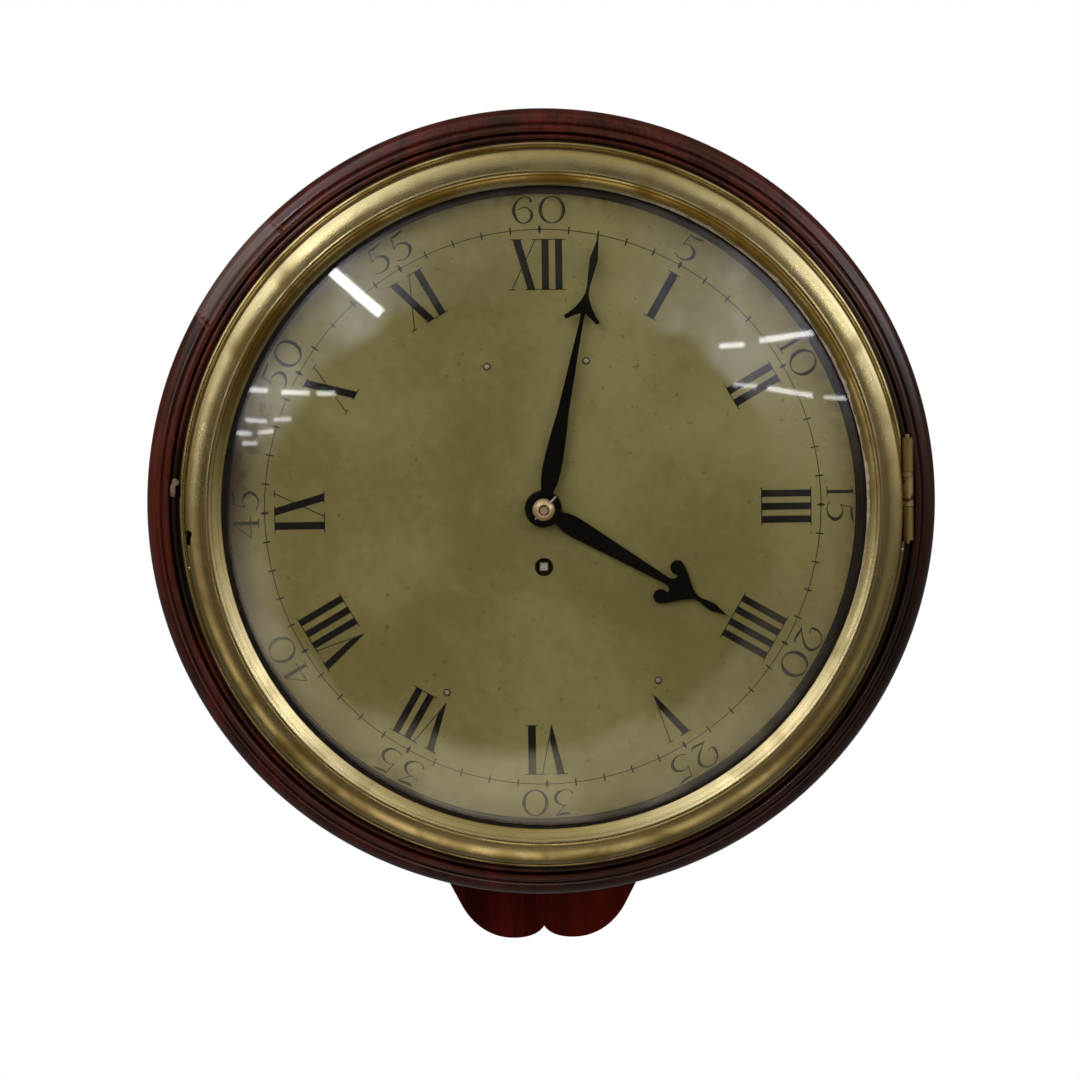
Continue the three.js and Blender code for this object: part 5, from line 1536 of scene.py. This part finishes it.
    def arabic(self, digit: str) -> tuple[float, list[list[Point]]]:
        """Draws one small figure with thick and fine strokes.

        Args:
            digit: The figure.

        Returns:
            Its width and its shapes, from its lower left corner.
        """
        fine = 0.44
        if digit == "0":
            loop = []
            for step in range(16):
                angle = math.tau * step / 16
                side = abs(math.cos(angle)) ** 1.6
                loop.append((6.3 + 5.6 * math.cos(angle), 6.5 + 6.35 * math.sin(angle), fine + 1.35 * side))
            return 12.6, stroke(loop, True)
        bowl = [(1.9, 6.7, fine), (4.6, 7.9, 0.4), (8.0, 6.4, 1.3), (8.9, 3.7, 1.7), (6.8, 0.9, 0.9),
                (3.4, 0.2, fine), (0.2, 1.4, fine)]
        figures = {
            "1": (5.4, ([(3.2, 0.0, 1.6), (3.2, 13.0, 1.6)], [(3.2, 12.8, 0.4), (0.9, 11.4, fine)],
                        [(0.7, 0.15, fine), (5.7, 0.15, fine)])),
            "2": (12.0, ([(4.1, 5.6, fine), (2.3, 4.9, 0.4), (0.9, 6.4, 1.3), (1.6, 10.3, 0.8),
                          (5.3, 12.8, fine), (9.2, 11.9, 0.9), (11.0, 9.2, 1.6), (9.7, 5.9, 1.1),
                          (6.4, 2.7, 0.5), (3.5, 0.6, fine)],
                         [(3.2, 0.6, fine), (5.2, 0.9, 0.9), (8.0, 0.6, 1.15), (10.4, 0.8, 0.7),
                          (11.5, 2.0, 0.25)])),
            "3": (10.4, ([(1.6, 12.2, 0.4), (3.4, 11.9, 1.1), (7.2, 12.4, 1.0), (9.2, 13.0, 0.3)],
                         [(9.0, 12.8, fine), (4.4, 7.7, fine)],
                         [(3.4, 7.7, fine), (6.0, 7.8, 0.5), (8.9, 5.6, 1.5), (8.7, 2.6, 1.5),
                          (5.2, 0.25, 0.4), (1.8, 0.7, fine), (0.6, 2.2, 0.9)])),
            "4": (11.0, ([(7.4, 0.0, 1.7), (7.4, 12.4, 1.7)], [(7.4, 12.7, 0.4), (0.5, 4.2, fine)],
                         [(0.4, 4.0, fine), (10.8, 4.0, fine)], [(5.2, 0.15, fine), (9.7, 0.15, fine)])),
            "5": (10.0, ([(3.2, 12.3, 0.4), (5.0, 12.0, 1.0), (8.4, 12.5, 0.9), (10.2, 13.0, 0.3)],
                         [(3.2, 12.4, fine), (1.9, 6.6, fine)], bowl)),
            "6": (10.8, ([(9.3, 10.2, 1.5), (8.9, 11.9, 0.9), (6.4, 12.8, fine), (2.9, 11.0, 0.9),
                          (1.0, 6.5, 1.7), (2.6, 1.9, 1.0), (5.4, 0.2, fine), (8.5, 1.3, 0.9),
                          (9.8, 4.0, 1.6), (8.6, 6.8, 0.8), (6.0, 7.9, fine), (3.0, 6.6, fine)],)),
        }
        width, lines = figures[digit]
        return width, [shape for line in lines for shape in stroke(line)]

    def minutes(self, hour: int) -> list[list[Point]]:
        """Draws the small figures of an hour, in minutes.

        Args:
            hour: The hour, from 1 to 12.

        Returns:
            The shapes of the upright figures.
        """
        drawn = [self.arabic(digit) for digit in str(5 * hour)]
        gap = self.digit_gap
        left = -(sum(width for width, _ in drawn) + gap * (len(drawn) - 1)) / 2 - 0.5
        shapes = []
        for width, lines in drawn:
            shapes += [[(x + left, y + self.arabic_foot) for x, y in line] for line in lines]
            left += width + gap
        return shapes

    def minute_track(self) -> list[list[Point]]:
        """Draws the minute circle with its crossing ticks and five-minute diamonds."""
        ring = [(x, y, self.track_width) for x, y in ring_of(self.track, steps=240)]
        shapes = stroke(ring, True, 1)
        for minute in range(60):
            corners = self.tick if minute % 5 else self.diamond
            shapes.append(self.to_face(minute / 5, [(u, self.track + v) for u, v in corners]))
        return shapes

    def build(self) -> None:
        """Makes the plate and lays its figures and rivets on it."""
        outlines = [ring_of(self.radius, steps=SEGMENTS), ring_of(self.centre_hole, steps=64),
                    ring_of(self.winding_hole, WINDING)]
        face = plate("dial_plate", outlines, self.back, self.face, self.easing)
        self.add(face, DIAL_SILVER, Body.CASE, Slot.SILVERED, "dial")
        low, high = self.face - self.sunk, self.face + self.wax
        for hour in range(1, 13):
            large = [self.to_face(hour, shape) for shape in self.roman(hour)]
            small = [self.to_face(hour, shape) for shape in self.minutes(hour)]
            self.wax_in(f"hour_figure_{hour:02d}", large, BLACK_WAX)
            self.wax_in(f"minute_figure_{5 * hour:02d}", small, THIN_WAX)
        self.wax_in("minute_track", self.minute_track(), THIN_WAX)
        for index, spot in enumerate(self.rivets, 1):
            head = Outline(0.0, high).line(1.3, high).line(1.32, high + 0.12)
            head.curve((1.2, high + 0.42), (0.7, high + 0.5), (0.0, high + 0.5), 8)
            seam = [(1.2, low), (1.85, low), (1.8, high), (1.2, high)]
            for name, profile, finish in (("head", head.points, RIVET_METAL), ("seam", seam, BLACK_WAX)):
                piece = turned(f"rivet_{name}_{index}", profile, at(*spot), 32)
                self.add(piece, finish, Body.CASE, Slot.SILVERED)

    def wax_in(self, name: str, shapes: Sequence[Sequence[Point]], wax: Finish) -> None:
        """Lays a waxed figure in the plate.

        Args:
            name: The figure's name.
            shapes: Its shapes on the dial.
            wax: What fills it.
        """
        figure = inlay(name, shapes, self.face - self.sunk, self.face + self.wax)
        self.add(figure, wax, Body.CASE, Slot.SILVERED)


@dataclass
class Hands(Assembly):
    """The two blued hands with the collet that holds them."""

    boss: float = 8.7
    hour_turn: float = -121.0
    hour_bore: float = 5.0
    hour_depths: Point = (114.0, 115.2)
    minute_turn: float = -12.1
    minute_bore: float = 3.2
    minute_depths: Point = (117.0, 118.2)
    easing: float = 0.3
    pin_turn: float = 47.0
    pin_depth: float = 120.6
    square: tuple[Point, ...] = ((2.1, 109.9), (2.1, 110.05), (1.6, 110.6))

    def boss_end(self, path: Outline, neck: float) -> list[Point]:
        """Ends half a hand in its round boss and gives the whole hand.

        Args:
            path: The half outline, from the tip to the neck.
            neck: The half-width where the neck meets the boss.

        Returns:
            The whole outline.
        """
        start = math.degrees(math.acos(neck / self.boss))
        path.arc((0.0, 0.0), self.boss, start, -90 - start, 24)
        path.points[-1] = (0.0, -self.boss)
        return path.mirrored()

    def hour_outline(self) -> list[Point]:
        """Gives the outline of the hour hand."""
        path = Outline(0.0, 104.5).quad((0.6, 100.5), (2.0, 96.1)).quad((1.8, 92.0), (1.0, 89.0))
        path.line(1.1, 86.5).curve((3.5, 80.0), (8.8, 78.0), (11.8, 71.0)).arc((8.2, 71.0), 3.6, 0.0, -207.0)
        path.quad((3.0, 74.4), (1.7, 70.0)).line(4.9, 18.5).quad((4.9, 12.0), (3.4, 9.4))
        return self.boss_end(path, 3.4)

    def minute_outline(self) -> list[Point]:
        """Gives the outline of the minute hand."""
        path = Outline(0.0, 136.4).quad((0.6, 130.4), (2.0, 123.8)).quad((1.5, 116.4), (0.8, 110.4))
        path.line(0.9, 106.4).quad((3.0, 99.4), (8.8, 94.4)).arc((7.4, 94.4), 1.4, 0.0, -144.0)
        path.quad((3.0, 96.0), (1.1, 96.8)).line(1.0, 91.4).line(2.8, 48.0).quad((4.6, 30.0), (4.6, 22.0))
        path.quad((4.6, 14.0), (3.2, 10.0))
        return self.boss_end(path, 3.2)

    def build(self) -> None:
        """Makes the hands, the collet with its pin and the end of the winding square."""
        blades = (("hour", self.hour_outline(), self.hour_bore, self.hour_depths, self.hour_turn, Body.HOUR),
                  ("minute", self.minute_outline(), self.minute_bore, self.minute_depths, self.minute_turn,
                   Body.MINUTE))
        for name, outline, bore, depths, turn, body in blades:
            where = DIAL_FRAME @ Matrix.Rotation(math.radians(turn), 4, "Z")
            blade = plate(f"{name}_hand_blade", [outline, ring_of(bore)], *depths, self.easing, where)
            self.add(blade, BLUED_STEEL, body, Slot.BLUED, f"{name}_hand")
        cap = Outline(2.4, 118.5).line(5.2, 118.5).line(5.4, 118.7).line(5.4, 119.3)
        cap.curve((5.2, 120.7), (4.1, 121.9), (2.9, 122.1)).quad((2.5, 122.15), (2.4, 121.8), 4)
        collet = turned("hand_collet_cap", cap.points, segments=64)
        self.add(collet, COLLET_BRASS, Body.CENTRE, Slot.MOVEMENT_BRASS, "hand_collet")
        taper = Outline(0.0, -6.2).line(0.3, -6.2).line(0.36, -6.0).line(0.62, 8.5)
        taper.quad((0.6, 8.8), (0.0, 8.85), 4)
        lie = Matrix.Rotation(math.radians(self.pin_turn), 4, "Z") @ Matrix.Rotation(math.radians(90), 4, "Y")
        pin = turned("hand_taper_pin", taper.points, at(0.0, 0.0, self.pin_depth) @ lie, 20)
        self.add(pin, BRIGHT_STEEL, Body.CENTRE, Slot.STEEL, "hand_pin")
        x, y = WINDING
        corners = ((-1, -1), (1, -1), (1, 1), (-1, 1))
        sections = [[(x + u * half, y + v * half, depth) for u, v in corners] for half, depth in self.square]
        square = lofted("winding_square_end", sections, False, sharp=FINE_SHARP)
        self.add(square, SQUARE_STEEL, Body.FUSEE, Slot.STEEL)


@dataclass
class Backboard(Assembly):
    """The board against the wall, with its arched top and lobed tail."""

    thickness: float = 12.0
    hook: Point = (0.0, 155.0)
    hook_radius: float = 6.5
    easing: float = 0.9

    def outline(self) -> list[Point]:
        """Gives the outline of the board."""
        path = Outline(0.0, 170.0).arc((0.0, 150.0), 20.0, 90.0, -90.0).line(20.0, 128.0).line(88.0, 128.0)
        path.line(88.0, -150.0).quad((59.5, -176.0), (51.5, -200.0)).line(42.6, -217.3)
        path.curve((37.5, -226.5), (28.5, -234.4), (15.5, -234.4))
        path.curve((7.75, -234.4), (2.5, -232.2), (0.0, -228.2))
        return path.mirrored()

    def build(self) -> None:
        """Makes the board."""
        outlines = [self.outline(), ring_of(self.hook_radius, self.hook)]
        board = plate("backboard_panel", outlines, 0.0, self.thickness, self.easing)
        self.add(board, MAHOGANY, Body.CASE, Slot.MAHOGANY, "backboard")


@dataclass
class Carried(Assembly):
    """The solids that show as they are, with eased edges and their own finishes."""

    boards: tuple[str, ...] = ("box_left", "box_right", "box_top", "box_bottom", "side_door", "bottom_door",
                               "batten_left", "batten_right", "side_door_button", "bottom_door_button",
                               "hanging_plate")
    easing: float = 0.6
    eased_from: float = 50.0
    split_from: float = 38.0
    weld: float = 1e-6

    def finish_of(self, name: str, slot: str) -> Finish:
        """Chooses the finish of a solid, by its name or else by its slot.

        Args:
            name: The solid's name.
            slot: Its slot in the record.

        Returns:
            The finish.
        """
        for start, finish in OWN_FINISHES.items():
            if name == start or (start.endswith("_") and name.startswith(start)):
                return finish
        return SLOT_FINISHES[Slot(slot)]

    def build(self) -> None:
        """Finishes each solid that still shows."""
        slots = {part["node"]: part["material_slot"] for part in frame["record"]["subparts"]}
        for name, node in sorted(frame["nodes"].items()):
            if node.hide_render:
                continue
            self.ease(node, name in self.boards)
            node.data.materials.clear()
            node.data.materials.append(self.finish_of(name, slots[name]).material())
            LOG.info("%s shows as its solid", name)

    def ease(self, node: Piece, board: bool) -> None:
        """Joins a solid's faces, eases the edges of a board and shades the rest smooth.

        Args:
            node: The solid.
            board: Whether its edges are eased.
        """
        mesh = node.data
        for attribute in ("custom_normal", "sharp_edge", "sharp_face"):
            if attribute in mesh.attributes:
                mesh.attributes.remove(mesh.attributes[attribute])
        mesh.shade_smooth()
        node.modifiers.new("join", "WELD").merge_threshold = self.weld
        if board:
            easing = node.modifiers.new("ease", "BEVEL")
            easing.width = self.easing * MM
            easing.segments = 2
            easing.limit_method = "ANGLE"
            easing.angle_limit = math.radians(self.eased_from)
        edges = node.modifiers.new("edges", "EDGE_SPLIT")
        edges.split_angle = math.radians(self.split_from)


@dataclass
class Studio:
    """The plain floor, the soft light and the camera."""

    floor_height: float = -1.0
    floor_front: float = -1.0
    floor_half: float = 8.0
    azimuth: float = -1.361
    elevation: float = 5.407
    roll: float = -0.793
    lens: float = 109.371
    sensor: float = 36.0
    distance: float = 1.6
    target: Spot = (-0.00182, -0.113, -0.015284)
    lamp_target: Spot = (0.0, -0.1, 0.0)
    tube_target: Spot = (0.0, -0.13, 0.0)
    lamps: tuple[tuple[str, Spot, Point, float], ...] = (
        ("key_lamp", (-1.5, -1.6, 1.6), (1.4, 1.0), 15.0), ("back_lamp", (1.0, 2.2, 1.3), (1.6, 1.2), 12.0))
    near_glow: tuple[Point, ...] = (
        (-180, 1.3), (-165, 1.5), (-120, 1.5), (-100, 0.35), (-88, 0.35), (-75, 1.5), (-60, 1.0), (-50, 1.9),
        (-40, 1.2), (-25, 0.5), (0, 0.12), (25, 0.25), (42, 1.1), (52, 1.9), (64, 1.7), (75, 0.7), (85, 0.3),
        (105, 0.1), (130, 0.6), (150, 1.3), (180, 1.3))
    far_glow: tuple[Point, ...] = (
        (-180, 0.08), (-120, 0.06), (-95, 0.1), (-75, 0.35), (-55, 1.4), (-35, 1.6), (-15, 0.55), (0, 0.32),
        (15, 0.28), (30, 0.36), (42, 0.6), (52, 1.3), (62, 2.1), (72, 1.4), (85, 0.3), (100, 0.1),
        (140, 0.05), (180, 0.08))
    near_warmth: float = 0.42
    far_warmth: float = 0.7
    far_from: Point = (0.56, 0.63)
    axis_drop: float = 0.08
    shapes: Clouds = Clouds(7.0)
    shapes_run: Spot = (1.0, 1.0, 0.7)
    behind: Colour = (0.07, 0.06, 0.05, 1.0)
    behind_from: Point = (-0.05, 0.25)
    dark: Colour = (0.03, 0.025, 0.015, 1.0)
    dark_middle: Point = (-0.02, -0.095)
    dark_half: Point = (0.48, 0.43)
    dark_edge: Clouds = Clouds(9.0, 2)
    glass_rays: Point = (3.6, 3.4)
    floor_tones: tuple[Colour, Colour] = ((0.19, 0.19, 0.19, 1.0), (0.22, 0.22, 0.22, 1.0))
    floor_specks: Clouds = Clouds(40, 4)
    floor_far: Point = (0.5, 2.2)
    floor_ahead: Point = (-0.4, -0.95)
    floor_white: Point = (0.8, 1.0)
    tubes: tuple[tuple[Spot, Spot, float, float], ...] = (
        ((-1.017, -2.253, 1.041), (-0.774, -2.412, 0.829), 0.052, 20.0),
        ((-1.450, -2.217, 0.430), (-1.354, -2.271, 0.425), 0.023, 10.0),
        ((-1.287, -2.307, 0.419), (-1.149, -2.371, 0.419), 0.023, 10.0),
        ((-1.110, -2.388, 0.418), (-1.020, -2.424, 0.419), 0.024, 9.0),
        ((-1.464, -2.230, 0.274), (-1.363, -2.287, 0.269), 0.019, 8.0),
        ((-1.324, -2.306, 0.278), (-1.241, -2.347, 0.284), 0.019, 7.0),
        ((-1.507, -2.210, 0.207), (-1.436, -2.252, 0.206), 0.023, 8.0),
        ((-1.403, -2.270, 0.212), (-1.330, -2.309, 0.219), 0.019, 8.0),
        ((-1.480, -2.230, 0.154), (-1.409, -2.271, 0.158), 0.019, 7.0),
        ((0.977, -2.397, 0.630), (1.103, -2.346, 0.633), 0.024, 11.0),
        ((1.177, -2.310, 0.646), (1.445, -2.163, 0.670), 0.028, 11.0),
        ((1.047, -2.408, 0.435), (1.162, -2.364, 0.414), 0.019, 8.0),
        ((1.217, -2.340, 0.403), (1.436, -2.233, 0.353), 0.023, 9.0),
        ((1.493, -2.201, 0.341), (1.602, -2.133, 0.329), 0.018, 8.0))

    def round_the_room(self, nodes: Nodes, turn: Link, glows: Sequence[Point], warmth: float) -> Link:
        """Gives the light of the room round the clock's axis.

        Args:
            nodes: The tree to fill.
            turn: The angle about the axis, from 0 to 1.
            glows: The bearings in degrees and the brightness there.
            warmth: How much of the blue is missing where the room is dim.

        Returns:
            The colour of the light.
        """
        stops = []
        for bearing, glow in glows:
            warm = max(0.0, 1.0 - glow) if abs(bearing) < 100 else 0.9
            levels = (0.96 + 0.1 * warm, 0.98 - 0.06 * warm, 1.06 - warmth * warm)
            stops.append(((bearing + 180) / 360, (*(glow * level for level in levels), 1.0)))
        return nodes.node("ShaderNodeValToRGB", {"stops": stops}, {"Fac": turn}, "Color")

    def seen(self, nodes: Nodes) -> Link:
        """Gives 1 for what the camera sees straight or through the glass's two faces, and otherwise 0."""
        ray = nodes.node("ShaderNodeLightPath", out="Is Camera Ray")
        through = nodes.rise(ray.other("Ray Depth"), *self.glass_rays)
        return ray + ray.other("Is Transmission Ray") * through

    def world(self) -> None:
        """Makes the room: bright and dim sides, a dark middle before the glass, white where it is seen."""
        world = bpy.data.worlds.new("room")
        world.use_nodes = True
        nodes = Nodes(world.node_tree)
        way = nodes.node("ShaderNodeTexCoord", out="Generated")
        across = nodes.part(way, "X")
        height, back = across.other("Z"), across.other("Y")
        turn = nodes.reckon("ARCTAN2", across, height) / math.tau + 0.5
        off_axis = (across ** 2.0 + (height + self.axis_drop) ** 2.0) ** 0.5
        near = self.round_the_room(nodes, turn, self.near_glow, self.near_warmth)
        far = self.round_the_room(nodes, turn, self.far_glow, self.far_warmth)
        room = nodes.blend(near, far, nodes.rise(off_axis, *self.far_from))
        shapes = nodes.rise(nodes.noise(way * self.shapes_run, self.shapes), 0.42, 0.58, 0.6, 1.15)
        room = room * nodes.node("ShaderNodeCombineColor", {}, {0: shapes, 1: shapes, 2: shapes})
        room = nodes.blend(room, self.behind, nodes.rise(back, *self.behind_from))
        off_x = (across - self.dark_middle[0]) / self.dark_half[0]
        off_y = (height - self.dark_middle[1]) / self.dark_half[1]
        off = off_x ** 2.0 + off_y ** 2.0 + (nodes.noise(way, self.dark_edge) * 0.3 - 0.15)
        dark = nodes.rise(off, 1.1, 0.93) * nodes.rise(back, 0.0, -0.2)
        room = nodes.blend(room, self.dark, dark)
        white = nodes.blend(room, WHITE, self.seen(nodes))
        light = nodes.node("ShaderNodeBackground", {}, {"Color": white, "Strength": 1.0})
        nodes.node("ShaderNodeOutputWorld", {}, {"Surface": light})
        bpy.context.scene.world = world

    def floor(self) -> None:
        """Makes the pale floor, which keeps the shadow and fades to white far away and at its front."""
        half, front = self.floor_half, self.floor_front
        mesh = bpy.data.meshes.new("floor")
        corners = ((-half, front), (half, front), (half, half), (-half, half))
        mesh.from_pydata([(x, y, self.floor_height) for x, y in corners], [], [(0, 1, 2, 3)])
        floor = bpy.data.objects.new("floor", mesh)
        bpy.context.scene.collection.objects.link(floor)
        material = bpy.data.materials.new("pale_floor")
        material.use_nodes = True
        nodes = Nodes(material.node_tree)
        place = nodes.place()
        tone = nodes.blend(*self.floor_tones, nodes.noise(place, self.floor_specks))
        matt = nodes.node("ShaderNodeBsdfDiffuse", {}, {"Color": tone})
        white = nodes.node("ShaderNodeEmission", {}, {"Color": WHITE, "Strength": 1.0})
        away = nodes.rise(nodes.length(place * (1.0, 1.0, 0.0)), *self.floor_far, *self.floor_white)
        ahead = nodes.rise(nodes.part(place, "Y"), *self.floor_ahead, *self.floor_white)
        share = self.seen(nodes) * nodes.reckon("MAXIMUM", away, ahead)
        shown = nodes.node("ShaderNodeMixShader", {}, {0: share, 1: matt, 2: white})
        nodes.node("ShaderNodeOutputMaterial", {}, {"Surface": shown})
        mesh.materials.append(material)

    def panel(self, name: str, size: Point, power: float) -> Piece:
        """Makes a flat lamp that the camera doesn't see.

        Args:
            name: The lamp's name.
            size: Its width and height in metres.
            power: Its power in watts.

        Returns:
            The lamp.
        """
        light = bpy.data.lights.new(name, "AREA")
        light.shape = "RECTANGLE"
        light.size, light.size_y = size
        light.energy = power
        lamp = bpy.data.objects.new(name, light)
        lamp.visible_camera = False
        bpy.context.scene.collection.objects.link(lamp)
        return lamp

    def lamp(self, name: str, spot: Spot, size: Point, power: float) -> None:
        """Hangs a large soft lamp that faces the clock and isn't mirrored in it.

        Args:
            name: The lamp's name.
            spot: Where it hangs, in metres.
            size: Its width and height in metres.
            power: Its power in watts.
        """
        lamp = self.panel(name, size, power)
        lamp.location = spot
        aim = Vector(self.lamp_target) - Vector(spot)
        lamp.rotation_euler = aim.to_track_quat("-Z", "Y").to_euler()
        lamp.visible_glossy = False
        lamp.visible_transmission = False

    def tube(self, name: str, start: Vector, end: Vector, width: float, glow: float) -> None:
        """Hangs a narrow tube lamp that is mirrored in the glass.

        Args:
            name: The lamp's name.
            start: One end of the tube, in metres.
            end: Its other end.
            width: Its width in metres.
            glow: Its brightness.
        """
        along = end - start
        middle = (start + end) / 2
        lamp = self.panel(name, (along.length, width), glow * math.pi * along.length * width)
        out = (middle - Vector(self.tube_target)).normalized()
        above = out.cross(along).normalized()
        lamp.matrix_world = self.stood(above.cross(out), above, out, middle)

    def stood(self, side: Vector, above: Vector, out: Vector, place: Vector) -> Matrix:
        """Gives the frame of what stands at a place, from its three axes."""
        return Matrix.Translation(place) @ Matrix((side, above, out)).transposed().to_4x4()

    def camera(self) -> None:
        """Sets the camera where the photograph was taken from."""
        azimuth, elevation, roll = (math.radians(a) for a in (self.azimuth, self.elevation, self.roll))
        out = Vector((math.sin(azimuth) * math.cos(elevation), -math.cos(azimuth) * math.cos(elevation),
                      math.sin(elevation)))
        right = (-out).cross(Vector((0, 0, 1))).normalized()
        above = right.cross(-out)
        side = math.cos(roll) * right + math.sin(roll) * above
        above = math.cos(roll) * above - math.sin(roll) * right
        data = bpy.data.cameras.new("camera")
        data.lens = self.lens
        data.sensor_width = self.sensor
        camera = bpy.data.objects.new("camera", data)
        camera.matrix_world = self.stood(side, above, out, Vector(self.target) + out * self.distance)
        bpy.context.scene.collection.objects.link(camera)
        bpy.context.scene.camera = camera

    def build(self) -> None:
        """Makes the room, the floor, the lamps and the camera."""
        self.world()
        self.floor()
        for lamp in self.lamps:
            self.lamp(*lamp)
        for index, (start, end, width, glow) in enumerate(self.tubes, 1):
            self.tube(f"tube_{index:02d}", Vector(start), Vector(end), width, glow)
        self.camera()
        bpy.context.scene.view_settings.view_transform = "Standard"


def main() -> None:
    """Builds the studio and every sub-assembly in order."""
    logging.basicConfig(level=logging.INFO, format="%(name)s: %(message)s")
    for group in (Studio(), Surround(), Bezel(), Glazing(), Dial(), Hands(), Backboard(), Carried()):
        LOG.info("building %s", type(group).__name__)
        group.build()


if __name__ == "__main__":
    main()
